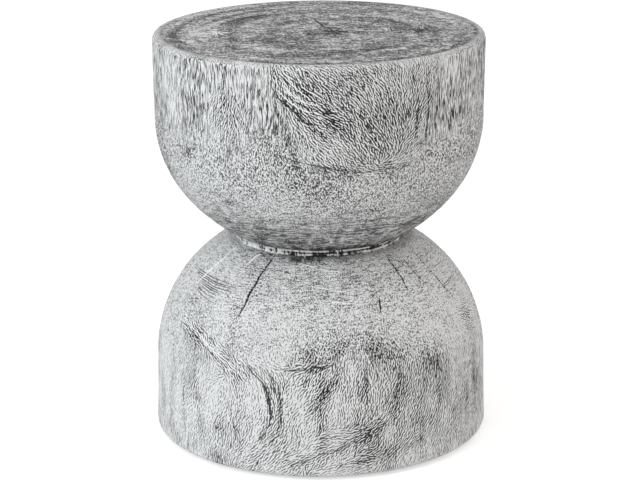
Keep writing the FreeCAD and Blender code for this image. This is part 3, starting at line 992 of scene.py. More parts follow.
@dataclass
class TurnedHalf:
    """One turned log section with its figure, checks and brushed surface."""

    name: str
    node: str
    waist: float
    direction: int
    outline: HalfOutline
    inner: Array
    bored_through: bool
    seed: int
    figure: Figure
    levels: GrainLevels = GrainLevels()
    long_from: float = 150 * MM
    base_tone: float = 0.0
    end_tone: float = 0.0
    pith: Pair = (0.0, 0.0)
    columns: int = 720
    check_spread: float = 1.3
    check_gain: float = 5.0
    spacing: float = 4.3 * MM
    flat_rows: int = 44
    edge_rows: int = 7
    flat_start: float = 4 * MM
    end_coarseness: Triple = (0.30, 0.30, 1.00)
    end_cells: Triple = (70 * MM, 14 * MM, 50 * MM)
    neck_bands: float = 0.38
    band_waver: float = 5 * MM
    ring_width: float = 7.5 * MM
    ring_bulge: float = 16 * MM
    fine_bulge: float = 0.35
    ring_start: float = 40.0
    wander: float = 9 * MM
    fine_wander: float = 1.6 * MM
    turning_waver: float = 0.9 * MM
    brushed_relief: float = 0.35 * MM
    brush_width: float = 5.5 * MM
    brush_length: float = 42 * MM
    least_radius: float = 20 * MM
    brush_seed_step: int = 3
    end_seed_step: int = 8
    azimuth: Array = field(init=False)
    section: Array = field(init=False)
    side_rows: slice = field(init=False)

    def __post_init__(self) -> None:
        """Works out the section from the flat end round to the joint face, and the columns."""
        flat_end = (self.outline.end_radius - self.outline.end_round, self.outline.end_rise)
        flat = line((self.flat_start, self.outline.end_rise), flat_end, self.flat_rows)
        edge = self.outline.edge(self.edge_rows)
        side = self.outline.side(self.spacing)
        self.section = np.vstack([flat, edge, side, self.inner])
        self.side_rows = slice(len(flat), len(flat) + len(edge) + len(side))
        places = [math.radians(azimuth) for check in self.figure.checks for azimuth, _ in check.places]
        self.azimuth = check_columns(self.columns, places, math.radians(self.check_spread), self.check_gain)

    def heights(self, rise: Array) -> Array:
        """Heights above the floor from rises off the waist plane."""
        return self.waist + self.direction * rise

    def plain_radius(self, height: Array) -> Array:
        """Radius of the plain outline at heights down its side."""
        side = self.outline.side(FINE_SPACING)[::-1]
        return np.interp(self.direction * (height - self.waist), side[:, 1], side[:, 0])

    def side_places(self, azimuth: Array, height: Array) -> Array:
        """Places on the brushed side."""
        radius = self.plain_radius(height)
        return round_table(radius + self.relief(azimuth, radius, height), azimuth, height)

    def grain_shift(self, azimuth: Array, height: Array) -> Array:
        """How far round the wall the grain has wandered at each height: broad and fine noises."""
        broad = BROAD_WANDER.at(azimuth, height, self.seed)
        return self.wander * broad + self.fine_wander * FINE_WANDER.at(azimuth, height, self.seed)

    def grooves(self, azimuth: Array, radius: Array, height: Array) -> tuple[Array, Array]:
        """Depth of the checks together, and how dark they are."""
        depth = np.zeros(azimuth.shape)
        dark = np.zeros(azimuth.shape)
        for number, check in enumerate(self.figure.checks):
            check_depth, check_dark = check.cut(number, azimuth, radius, height)
            depth = np.maximum(depth, check_depth)
            dark = np.maximum(dark, check_dark)
        return depth, dark

    def relief(self, azimuth: Array, radius: Array, height: Array) -> Array:
        """Height over the plain outline: a hand-turned wall's waver, and brushed grain drawn out along Z."""
        shift = self.grain_shift(azimuth, height) / radius
        grain = round_table(radius / self.brush_width, azimuth + shift, height / self.brush_length)
        waver = WALL_WAVER.at(azimuth, height, self.seed) * self.turning_waver
        return waver + self.brushed_relief * layered_noise(grain, self.seed + self.brush_seed_step, layers=2)

    def ring_number(self, places: Array, azimuth: Array, height: Array) -> Array:
        """Growth rings counted from the pith, with the log's swellings as broad and fine noise."""
        reach = np.hypot(places[..., 0] - self.pith[0], places[..., 1] - self.pith[1])
        fine = self.fine_bulge * FINE_SWELL.at(azimuth, height, self.seed)
        swell = BROAD_SWELL.at(azimuth, height, self.seed) + fine
        return (reach + self.ring_bulge * swell) / self.ring_width + self.ring_start

    def tone(self, azimuth: Array, radius: Array, height: Array) -> Array:
        """How pale the wash is: clouds, and its patches and streaks broken by noise, where some patches are
        painted shade under the bowl and round the bead.
        """
        levels = self.levels
        breaks = levels.figure_tone + levels.figure_breaks * FIGURE_BREAKS.at(azimuth, height, self.seed)
        figure = breaks * patched(self.figure.wash_and_shade, azimuth, radius, height)
        return self.base_tone + levels.cloud_tone * WASH_CLOUDS.at(azimuth, height, self.seed) + figure

    def build(self) -> Piece:
        """Builds the closed mesh with its material attributes."""
        radius, azimuth, height = np.broadcast_arrays(
            self.section[:, :1], self.azimuth[None, :], self.heights(self.section[:, 1:])
        )
        shown = np.zeros(radius.shape)
        shown[self.side_rows] = 1
        shown[self.flat_rows:self.flat_rows + self.edge_rows] = np.linspace(0, 1, self.edge_rows)[:, None]
        slope = np.gradient(self.section, axis=0)
        slope /= np.linalg.norm(slope, axis=1, keepdims=True)
        outward = np.stack([-slope[:, 1], slope[:, 0]], axis=-1)
        depth, dark = self.grooves(azimuth, radius, height)
        rise = shown * (self.relief(azimuth, radius, height) - depth)
        push = outward[:, None, :] * rise[..., None]
        places = round_table(radius + push[..., 0], azimuth, height + self.direction * push[..., 1])
        marks = self.marks(radius, azimuth, height, slope) | {"check": dark * shown}
        return grid_piece(self.name, places, close_rows=self.bored_through, marks=marks)

    def marks(self, radius: Array, azimuth: Array, height: Array, slope: Array) -> dict[str, Array]:
        """The attributes that the wood finish reads.

        Args:
            radius: distance of each place from the turning axis.
            azimuth: azimuth of each place.
            height: height of each place.
            slope: each row's direction along the section, of length one.

        Returns:
            The attributes by name.
        """
        levels = self.levels
        plain = round_table(radius, azimuth, height)
        long_share, neck_share = self.straight_shares(azimuth, height)
        wave_share = np.clip(patched(self.figure.combs, azimuth, radius, height), 0, levels.most_waves)
        lean = np.zeros(radius.shape)
        rings = self.ring_number(plain, azimuth, height)
        clumps = PORE_CLUSTERS.at(azimuth, height, self.seed) * np.maximum(long_share, wave_share)
        if self.figure.swirl:
            swirl_lean, swirl_rings, share = self.figure.swirl.field(azimuth, radius, height)
            lean = blend_leans(lean, swirl_lean, share)
            rings = rings * (1 - share) + swirl_rings * share
            wave_share = np.maximum(wave_share, levels.swirl_waves * share)
            clumps = clumps * (1 - share)
        upright = levels.upright_pull * np.exp(2j * lean)
        pull = sum((flow.pull(azimuth, radius, height) for flow in self.figure.flows), upright)
        lean = np.angle(pull) / 2 + levels.lean_waver * LEAN_WAVER.at(azimuth, height, self.seed)
        bite = levels.bite + levels.long_bite * long_share + levels.clump_bite * clumps
        bite = bite + patched(self.figure.bites, azimuth, radius, height) + levels.wave_bite * wave_share
        shade = levels.clump_shade + levels.wave_clump_shade * wave_share
        marks = {
            "across": self.across(azimuth, slope, lean), "bite": bite, "long_share": long_share,
            "wave_share": wave_share, "neck_share": neck_share,
            "grain_place": self.grain_place(radius, azimuth, height),
            "band_place": self.band_place(azimuth, height), "rings": rings,
            "tone": self.tone(azimuth, radius, height) - shade * clumps,
        }
        self.mark_end(marks, plain)
        return marks

    def straight_shares(self, azimuth: Array, height: Array) -> tuple[Array, Array]:
        """How far dashes take over from dots away from the waist, and bands towards the neck."""
        levels = self.levels
        away = self.direction * (height - self.waist)
        patchy = LONG_GRAIN_EDGE.at(azimuth, height, self.seed)
        beyond = away - self.long_from + levels.long_shift * patchy
        long_share = smooth_step(-levels.long_fade, levels.long_fade, beyond)
        neck = smooth_step(levels.neck_from, levels.neck_full, away + levels.neck_shift * patchy)
        return long_share, self.neck_bands * neck

    def mark_end(self, marks: dict[str, Array], plain: Array) -> None:
        """Gives the flat end its own grain and wash, and makes the round edge paler."""
        levels = self.levels
        flat = slice(0, self.flat_rows)
        edge = slice(self.flat_rows, self.flat_rows + self.edge_rows)
        marks["grain_place"][flat] = plain[flat][..., [1, 2, 0]] * np.array(self.end_coarseness)
        marks["tone"][flat] = self.end_wash(plain[flat])
        marks["tone"][self.flat_rows - 1] += levels.rim_tone
        marks["bite"][flat] = levels.flat_bite
        marks["long_share"][flat] = levels.flat_long_share
        marks["wave_share"][flat] = 0.0
        marks["neck_share"][flat] = 0.0
        marks["tone"][edge] += levels.edge_tone
        marks["bite"][edge] *= levels.edge_bite

    def band_place(self, azimuth: Array, height: Array) -> Array:
        """Where the bands round the neck put each place: an even circle, and the way along the section."""
        steps = np.linalg.norm(np.diff(self.section, axis=0, prepend=self.section[:1]), axis=1)
        along = np.cumsum(steps)[:, None] + self.band_waver * BAND_WAVER.at(azimuth, height, self.seed)
        return round_table(1.0, azimuth, along)

    def end_wash(self, places: Array) -> Array:
        """How pale the wash is on the flat end: noise drawn out along X, noise in rings, and streaks."""
        drawn_out = layered_noise(places / np.array(self.end_cells), self.seed + self.end_seed_step, layers=4)
        aside = places[..., 0] - self.pith[0]
        beyond = places[..., 1] - self.pith[1]
        bands = END_BANDS.at(np.arctan2(aside, beyond), np.hypot(aside, beyond), self.seed)
        drawn = (streak.share(places[..., 0], places[..., 1]) for streak in self.figure.end_streaks)
        streaks = sum(drawn, 0.0)
        noise = self.levels.flat_drawn_out * drawn_out + self.levels.flat_bands * bands
        return self.end_tone + noise + streaks

    def grain_place(self, radius: Array, azimuth: Array, height: Array) -> Array:
        """Where the long grain puts each place: turned round the axis by its wander and its lean."""
        lean = np.radians(patched(self.figure.leans, azimuth, radius, height))
        shift = self.grain_shift(azimuth, height) - np.tan(lean) * (height - height.mean())
        return round_table(radius, azimuth + shift / np.maximum(radius, self.least_radius), height)

    def across(self, azimuth: Array, slope: Array, lean: Array) -> Array:
        """The direction across the grain in the surface, for grain at a lean from the upright."""
        up = slope[:, None, :] * np.where(slope[:, 1:] < 0, -1, 1)[:, None, :]
        climb = round_table(up[..., 0], azimuth, up[..., 1] * np.ones_like(azimuth))
        climb[..., 0:2] *= self.direction
        sideways = np.stack([np.cos(azimuth), np.sin(azimuth), np.zeros_like(azimuth)], -1)
        return np.cos(lean)[..., None] * sideways - np.sin(lean)[..., None] * climb


# Figure of the two halves, as lines and patches at azimuths in degrees and heights

def lowered(places: Places, drop: float) -> Places:
    """The same line some way further down."""
    return tuple((azimuth, height - drop) for azimuth, height in places)


SWIRL_ARM = ((-15.3, 0.503), (-13.4, 0.480), (-9.8, 0.463), (-2.7, 0.437), (1.8, 0.425))
INNER_ARM = ((-12.2, 0.494), (-5.3, 0.479), (-1.0, 0.471))
SHORT_ARM = ((-6.1, 0.497), (-2.9, 0.478))
SWIRL_FOOT = ((-18.2, 0.401), (-8.1, 0.394), (2.5, 0.385), (13.5, 0.381), (29.8, 0.383))
DOME_CROWN = ((-4.0, 0.150), (3.3, 0.160), (18.0, 0.160), (29.0, 0.148), (45.0, 0.131))
LEFT_BAND = ((-62.0, 0.167), (-49.0, 0.158), (-37.0, 0.143), (-28.7, 0.128))
OUTER_CRESCENT = ((-25.1, 0.136), (-20.3, 0.123), (-17.7, 0.105), (-16.8, 0.075), (-20.7, 0.048))
INNER_CRESCENT = ((-20.6, 0.138), (-16.7, 0.122), (-13.9, 0.101), (-13.6, 0.073), (-17.0, 0.044))
CRESCENT_GRAIN = (
    (-27.0, 0.138), (-19.5, 0.120), (-16.5, 0.100), (-15.5, 0.074), (-19.0, 0.046), (-26.0, 0.020),
)
FAN_FOOT = ((-63.0, 0.2017), (-57.6, 0.1991), (-47.7, 0.1952))

BOWL_FIGURE = Figure(
    wash_and_shade=(
        Patch(18, 0.445, 0.10, 0.060, -0.30), Patch(-50, 0.36, 0.10, 0.05, 0.20),
        Patch(-55, 0.47, 0.10, 0.05, -0.05), Patch(-5, 0.33, 0.12, 0.03, 0.10),
        # Painted shade: the dark patches at heights 0.280, 0.262 and 0.2605 darken the bowl's underside over
        # the waist and the crevice just above the bead.
        Patch(0, 0.280, 0.40, 0.030, -0.7), Patch(0, 0.262, 0.50, 0.006, -0.8),
        Patch(30, 0.2605, 0.07, 0.005, -1.0), Patch(45, 0.37, 0.06, 0.05, 0.20),
        Patch(-76, 0.355, 0.03, 0.02, -0.9), Patch(-34, 0.333, 0.012, 0.004, -0.9),
        Patch(-49, 0.39, 0.006, 0.006, -1.4), Patch(65, 0.46, 0.05, 0.04, -0.2),
        Streak(SWIRL_FOOT, 2.5 * MM, -0.4),
        Streak(((-12.0, 0.388), (0.0, 0.379), (12.0, 0.374)), 2.5 * MM, -0.3),
        Streak(((-9.5, 0.424), (-8.1, 0.394), (-7.5, 0.379)), 5 * MM, -0.4),
        Streak(SWIRL_ARM, 2.5 * MM, -0.6),
        Streak(INNER_ARM, 2.2 * MM, -0.5),
        Streak(SHORT_ARM, 2.2 * MM, -0.5),
        Streak(((0.3, 0.456), (3.5, 0.453)), 2.5 * MM, -0.6),
        Streak(((-10.3, 0.481), (-7.1, 0.472), (-4.2, 0.465)), 4 * MM, 0.5),
        Patch(5, 0.442, 0.008, 0.007, -0.5),
        Streak(((32.8, 0.490), (34.6, 0.453), (33.3, 0.416)), 2 * MM, -0.5),
        Streak(((37.7, 0.493), (39.3, 0.451), (37.5, 0.413)), 2 * MM, -0.6),
        Streak(((42.2, 0.495), (43.4, 0.449), (40.6, 0.408)), 2 * MM, -0.6),
        Streak(((-60.0, 0.318), (-20.0, 0.312), (20.0, 0.312), (60.0, 0.318)), 3 * MM, -0.3),
        Streak(((-50.0, 0.300), (0.0, 0.296), (50.0, 0.300)), 3 * MM, -0.3),
    ),
    bites=(
        Patch(16, 0.44, 0.09, 0.06, 0.50), Patch(-5, 0.46, 0.035, 0.035, 0.65),
        Patch(0, 0.38, 0.09, 0.02, 0.1), Patch(65, 0.45, 0.06, 0.05, 0.60),
        Patch(-42, 0.46, 0.11, 0.05, 0.45), Patch(46, 0.45, 0.04, 0.05, 0.30),
    ),
    combs=(
        Patch(-62, 0.46, 0.09, 0.04, 0.4), Patch(65, 0.46, 0.07, 0.04, 0.4),
        Patch(-31, 0.445, 0.03, 0.035, 0.8),
        Streak(((-13.0, 0.500), (-8.0, 0.478), (0.0, 0.452), (6.0, 0.440)), 15 * MM, 1.2),
    ),
    flows=(
        Flow(SWIRL_ARM, 9 * MM),
        Flow(INNER_ARM, 8 * MM),
        Flow(SHORT_ARM, 8 * MM),
        Flow(((-4.2, 0.459), (0.3, 0.456), (6.0, 0.449)), 8 * MM),
        Flow(((-40.0, 0.420), (-36.5, 0.455), (-34.5, 0.485)), 10 * MM),
        Flow(((-31.5, 0.470), (-27.5, 0.440), (-23.5, 0.412)), 10 * MM),
        Flow(SWIRL_FOOT, 8 * MM),
        Flow(((37.0, 0.500), (39.0, 0.455), (36.5, 0.415), (30.0, 0.392)), 14 * MM),
    ),
    end_streaks=(
        EndStreak(((-120, 44), (-93, 82), (-72, 100)), 5 * MM, -0.7),
        EndStreak(((-60, -150), (1, -143), (48, -122), (96, -96)), 8 * MM, -0.6),
        EndStreak(((33, 84), (77, 76), (113, 30)), 4 * MM, -0.6),
        EndStreak(((-89, -12), (-79, -7), (-72, -31), (-80, -61)), 4 * MM, -0.8),
        EndStreak(((-150, -20), (-145, 20), (-120, 60)), 8 * MM, 0.5),
        EndStreak(((-10, -20), (40, -12)), 14 * MM, -0.4),
        EndStreak(((105, -5), (140, -2)), 10 * MM, -0.5),
    ),
    swirl=Swirl(azimuth=14, height=0.512, half_width=0.106, half_height=0.165),
)
DOME_FIGURE = Figure(
    checks=(
        Check(((-29.4, 0.2485), (-30.3, 0.236), (-32.1, 0.2155), (-32.4, 0.2035), (-34.3, 0.187)),
              3.0 * MM, 7 * MM),
        Check(((41.6, 0.2456), (40.7, 0.2359), (40.4, 0.2150)), 2.6 * MM, 5 * MM),
        Check(((50.6, 0.2395), (50.6, 0.2271), (51.6, 0.2140)), 2.2 * MM, 4 * MM),
        Check(((63.8, 0.2452), (61.5, 0.2318), (61.5, 0.2176), (62.2, 0.2044), (64.3, 0.1860)),
              2.4 * MM, 6 * MM),
        Check(((25.5, 0.212), (24.2, 0.197)), 2.4 * MM, 4 * MM),
    ),
    wash_and_shade=(
        Streak(DOME_CROWN, 14 * MM, -0.5), Patch(-55, 0.13, 0.12, 0.09, 0.20),
        Patch(-12, 0.185, 0.10, 0.022, 0.25), Patch(5, 0.228, 0.08, 0.022, -0.45),
        # Painted shade: Patch(-14, 0.2500, ...) is the shadow on the dome just under the bead.
        Patch(-55, 0.215, 0.06, 0.03, 0.15), Patch(-14, 0.2500, 0.06, 0.004, -1.2),
        Patch(55, 0.19, 0.10, 0.05, 0.40), Patch(60, 0.07, 0.09, 0.05, -0.35),
        Patch(-33, 0.054, 0.03, 0.006, -0.4), Patch(-36, 0.013, 0.018, 0.008, -0.6),
        Patch(14, 0.060, 0.02, 0.01, -0.15),
        Streak(LEFT_BAND, 3 * MM, 0.30),
        Streak(lowered(LEFT_BAND, 8 * MM), 3 * MM, -0.35),
        Streak(((-52.0, 0.166), (-40.0, 0.153), (-31.0, 0.141)), 3 * MM, -0.35),
        Streak(((-16.0, 0.140), (-7.0, 0.138), (2.0, 0.1415)), 2.5 * MM, -0.6),
        Patch(42, 0.112, 0.025, 0.015, 0.25),
        Streak(OUTER_CRESCENT, 3 * MM, -1.2),
        Streak(INNER_CRESCENT, 3 * MM, -1.1),
        Streak(((-22.5, 0.128), (-19.4, 0.110), (-18.8, 0.085), (-22.4, 0.050)), 3 * MM, 0.4),
        Streak(((5.0, 0.126), (1.5, 0.109), (-2.2, 0.092)), 5 * MM, -0.65),
        Streak(((-5.0, 0.128), (-6.8, 0.106)), 3 * MM, -0.5),
        Streak(((15.0, 0.138), (15.3, 0.112)), 2.5 * MM, -0.6),
        Streak(((28.0, 0.126), (25.5, 0.100)), 3 * MM, -0.5),
        Streak(((-55.2, 0.083), (-53.1, 0.026)), 2 * MM, -0.5),
        Streak(((-50.5, 0.095), (-49.5, 0.03)), 2 * MM, -0.3),
        Streak(((2.8, 0.014), (19.7, 0.028), (35.0, 0.036)), 4 * MM, -0.5),
        Streak(((-10.0, 0.020), (6.0, 0.040), (22.0, 0.066)), 4 * MM, -0.5),
    ),
    bites=(
        Streak(DOME_CROWN, 18 * MM, 1.1), Patch(3, 0.118, 0.06, 0.018, 0.40),
        Patch(-60, 0.1, 0.1, 0.1, -0.1), Patch(50, 0.07, 0.07, 0.06, 0.15),
        Streak(lowered(LEFT_BAND, 4 * MM), 9 * MM, 0.4), Patch(0, 0.22, 0.4, 0.035, 0.25),
        Patch(-57, 0.211, 0.05, 0.014, -0.35), Patch(58, 0.20, 0.08, 0.04, 0.30),
    ),
    leans=(Patch(35, 0.07, 0.12, 0.08, 16),),
    combs=(
        Patch(70, 0.165, 0.03, 0.02, 0.8), Patch(-3, 0.068, 0.18, 0.078, 1.5),
        Patch(-63, 0.070, 0.07, 0.06, 0.45), Patch(58, 0.060, 0.07, 0.065, 0.7),
        Streak(LEFT_BAND, 11 * MM, 1.0),
    ),
    flows=(
        Flow(((-79.6, 0.2173), (-64.3, 0.2181), (-42.8, 0.2180)), 12 * MM),
        Flow(((-69.4, 0.2122), (-59.6, 0.2120), (-40.8, 0.2110)), 12 * MM),
        Flow(FAN_FOOT, 12 * MM),
        Flow(((58.0, 0.172), (72.0, 0.165), (82.0, 0.150)), 25 * MM),
        Flow(LEFT_BAND, 13 * MM),
        Flow(((24.0, 0.012), (26.7, 0.056), (29.0, 0.098)), 18 * MM),
        Flow(((37.0, 0.015), (40.8, 0.064), (45.0, 0.104)), 20 * MM),
        Flow(((52.0, 0.019), (56.8, 0.066), (60.5, 0.105)), 20 * MM),
        Flow(CRESCENT_GRAIN, 14 * MM),
        Flow(((-40.0, 0.112), (-33.0, 0.124), (-28.0, 0.100), (-29.0, 0.060)), 10 * MM),
        Flow(((-11.0, 0.078), (-7.5, 0.105), (-4.0, 0.132)), 11 * MM),
        Flow(((-4.0, 0.082), (0.0, 0.105), (4.0, 0.130)), 11 * MM),
        Flow(((10.0, 0.080), (10.5, 0.136)), 12 * MM),
        Flow(((17.0, 0.080), (17.5, 0.136)), 12 * MM),
        Flow(((-23.5, 0.147), (-14.0, 0.140), (-7.0, 0.140), (2.0, 0.143)), 6 * MM),
        Flow(((-18.0, 0.004), (-8.0, 0.030), (4.0, 0.052), (20.0, 0.068)), 13 * MM),
        Flow(((0.0, 0.006), (16.0, 0.026), (36.0, 0.040)), 13 * MM),
    ),
)


def upper_bowl() -> TurnedHalf:
    """The upper half: table top, wall and bowl, with its bores as in the CAD."""
    low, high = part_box("upper_bowl")
    insert_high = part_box("rod_insert")[1]
    rod_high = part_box("tie_rod")[1]
    bead_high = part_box("seam_filler")[1]
    waist = low.z
    spigot = bead_high.x - BEAD_DEPTH
    shelf = bead_high.z - waist
    outline = HalfOutline(
        end_rise=high.z - waist, end_radius=high.x, end_round=7 * MM, shoulder_rise=150 * MM,
        shoulder_radius=203.5 * MM, turn_across_share=0.66, turn_rise_share=0.365,
        neck_rise=shelf, neck_radius=110 * MM,
    )
    seat = insert_high.x + INSERT_CLEARANCE
    hole = rod_high.x + ROD_CLEARANCE
    depth = insert_high.z - waist
    end = rod_high.z - waist + ROD_END_GAP
    inner = np.array([
        (spigot, shelf), (spigot, 0), (seat, 0), (seat, depth), (hole, depth), (hole, end),
    ])
    return TurnedHalf(
        name="bowl_wood", node="upper_bowl", waist=waist, direction=1, outline=outline, inner=inner,
        bored_through=False, seed=11, figure=BOWL_FIGURE, neck_bands=0.55, long_from=156 * MM, end_tone=-0.45,
        pith=(0.016, -0.016),
    )


def lower_dome() -> TurnedHalf:
    """The lower half: neck, dome, wall and foot, with the rod's hole and counterbore as in the CAD."""
    low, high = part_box("lower_dome")
    rod_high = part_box("tie_rod")[1]
    washer_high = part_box("rod_washer")[1]
    bead_low, bead_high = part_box("seam_filler")
    waist = high.z
    spigot = bead_high.x - BEAD_DEPTH
    shelf = waist - bead_low.z
    outline = HalfOutline(
        end_rise=waist - low.z, end_radius=high.x, end_round=6 * MM, shoulder_rise=158 * MM,
        shoulder_radius=207.5 * MM, turn_across_share=0.59, turn_rise_share=0.295,
        neck_rise=shelf, neck_radius=116 * MM,
    )
    hole = rod_high.x + ROD_CLEARANCE
    counterbore = washer_high.x + WASHER_MARGIN
    seat = waist - washer_high.z
    inner = np.array([
        (spigot, shelf), (spigot, 0), (hole, 0), (hole, seat), (counterbore, seat),
    ])
    return TurnedHalf(
        name="dome_wood", node="lower_dome", waist=waist, direction=-1, outline=outline, inner=inner,
        bored_through=True, seed=31, figure=DOME_FIGURE, flat_start=counterbore, flat_rows=20, columns=840,
        long_from=122 * MM, base_tone=0.17,
    )


# Filler bead, rod and thin checks

@dataclass(frozen=True)
class SeamBead:
    """Ragged bead of filler with two lips and the seam between them."""

    columns: int = 1100
    rows: int = 30
    lip: float = 3.2 * MM
    lip_power: float = 0.7
    upper_reach: float = 0.82
    upper_ragged: float = 0.42
    lower_reach: float = 0.70
    lower_ragged: float = 0.48
    fine_ragged: float = 0.38
    reach_limits: Pair = (0.05, 1.4)
    height_ragged: float = 0.05
    ragged_cells: float = 9.0
    cells_up: float = 2.0
    noises: tuple[tuple[float, int], ...] = ((1.0, 90), (1.0, 95), (7.0, 99))
    blob_azimuth: float = -44.0
    blob_spread: float = 20.0
    blob_power: float = 0.6
    blob_ragged: float = 0.7
    blob_lift: float = 3.2 * MM
    blob_limit: float = 1.5
    blob_crest: Triple = (0.5, 0.15, 1.1)
    crest_limit: float = 1.3

    def ragged(self, azimuth: Array, share: Array) -> list[Array]:
        """Noises round the waist and up the bead: one for each lip, and a finer one for both."""
        across = self.ragged_cells * np.sin(azimuth)
        beyond = self.ragged_cells * np.cos(azimuth)
        up = share * self.cells_up
        return [
            layered_noise(np.stack(np.broadcast_arrays(across * scale, beyond * scale, up), -1), seed)
            for scale, seed in self.noises
        ]

    def build(self) -> Piece:
        """Builds the bead: two humps, uneven in reach and height round the waist, and a blob."""
        low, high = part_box("seam_filler")
        azimuth = np.linspace(-math.pi, math.pi, self.columns, endpoint=False)[None, :]
        share = np.linspace(0, 1, self.rows)[:, None]
        hump = np.abs(np.sin(2 * math.pi * share)) ** self.lip_power
        middle = np.sin(math.pi * share)
        upper, lower, fine = self.ragged(azimuth, share)
        upper_reach = self.upper_reach + self.upper_ragged * upper
        lower_reach = self.lower_reach + self.lower_ragged * lower
        reach = np.where(share > 0.5, upper_reach, lower_reach) + self.fine_ragged * fine
        reach = np.clip(reach, *self.reach_limits)
        blob = np.exp(-(((np.degrees(azimuth) - self.blob_azimuth) / self.blob_spread) ** 2))
        blob = blob * middle**self.blob_power * (1 + self.blob_ragged * fine)
        lift = self.blob_lift * np.clip(blob, 0, self.blob_limit)
        radius = high.x - self.lip + self.lip * hump * reach + lift
        height = low.z + (high.z - low.z) * (share + self.height_ragged * upper * middle)
        inner = np.full((2, self.columns), high.x - BEAD_DEPTH)
        back = round_table(inner, azimuth, np.array([[high.z], [low.z]]))
        gain, base, ragged = self.blob_crest
        # The crest falls to zero at the seam and at the bead's upper and lower edges: a dark seam, and
        # painted shade where the bead meets the bowl and the dome.
        crest = np.clip(hump * reach * (1 + gain * blob) + blob * (base + ragged * fine), 0, self.crest_limit)
        crest = np.vstack([crest, np.zeros((2, self.columns))])
        places = np.concatenate([round_table(radius, azimuth, height), back])
        return grid_piece("filler_bead", places, close_rows=True, marks={"crest": crest})


@dataclass(frozen=True)
class ThreadedRod:
    """Tie rod with its thread cut along its whole length."""

    pitch: float = 1.75 * MM
    thread_depth: float = 1.07 * MM
    flank_slope: float = 2.6
    root_flat: float = 0.15
    bevel: float = 1.5 * MM
    columns: int = 24
    rows_per_turn: int = 6
    sharp_degrees: float = 60.0

    def build(self) -> Piece:
        """Builds the rod: its radius rises and falls with height less a share of a turn."""
        low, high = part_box("tie_rod")
        count = int((high.z - low.z) / self.pitch * self.rows_per_turn)
        height = np.linspace(low.z, high.z, count)[:, None]
        azimuth = np.linspace(-math.pi, math.pi, self.columns, endpoint=False)[None, :]
        turn = np.mod((height - low.z) / self.pitch - azimuth / (2 * math.pi), 1)
        crest = np.clip(self.flank_slope * np.abs(turn - 0.5) - self.root_flat, 0, 1)
        radius = high.x - self.thread_depth * (1 - crest)
        inside = np.minimum(height - low.z, high.z - height)
        radius = np.minimum(radius, high.x - self.bevel + inside)
        places = round_table(radius, azimuth, height)
        return grid_piece("rod_thread", places, close_rows=False, sharp_degrees=self.sharp_degrees)


class Trace(Enum):
    """What a thin check shows: open and dark, or whitened by filler. The value is its crest attribute."""

    OPEN = 0.0
    FILLED = 1.0


@dataclass(frozen=True)
class ThinCheck:
    """A check too thin to cut into the wood, drawn as a low ridge of filler along its places."""

    places: Places
    trace: Trace
    width: float = 2.2 * MM


def thin(trace: Trace, width: float, *lines: Places) -> tuple[ThinCheck, ...]:
    """Thin checks of one trace and width."""
    return tuple(ThinCheck(places, trace, width) for places in lines)


def star(
    centre: Pair, reach: float, count: int, trace: Trace, width: float,
    uneven: float = 0.4, shortest: float = 0.55, narrowest: float = 0.45, depth_share: float = 2.0,
) -> tuple[ThinCheck, ...]:
    """Short checks round a point on the table top, with uneven angles, lengths and widths.

    Args:
        centre: X and Y of the point, in millimetres.
        reach: length of the longest check, in millimetres.
        count: how many checks.
        trace: what they show.
        width: width of the widest check, in metres.
        uneven: how far an angle strays, in radians.
        shortest: share of the reach that the shortest check has.
        narrowest: share of the width that the narrowest check has.
        depth_share: how much longer the star is away from the viewer than across.

    Returns:
        The checks.
    """
    turn = np.arange(count)
    angle = 2 * math.pi * turn / count + uneven * np.sin(5 * turn)
    length = reach * (shortest + (1 - shortest) * np.sin(3 * turn + 1) ** 2)
    across = np.column_stack([np.cos(angle), depth_share * np.sin(angle)])
    ends = across * length[:, None] + np.array(centre)
    widths = width * (narrowest + (1 - narrowest) * np.cos(angle) ** 2)
    return tuple(ThinCheck((centre, tuple(end)), trace, each) for end, each in zip(ends, widths))


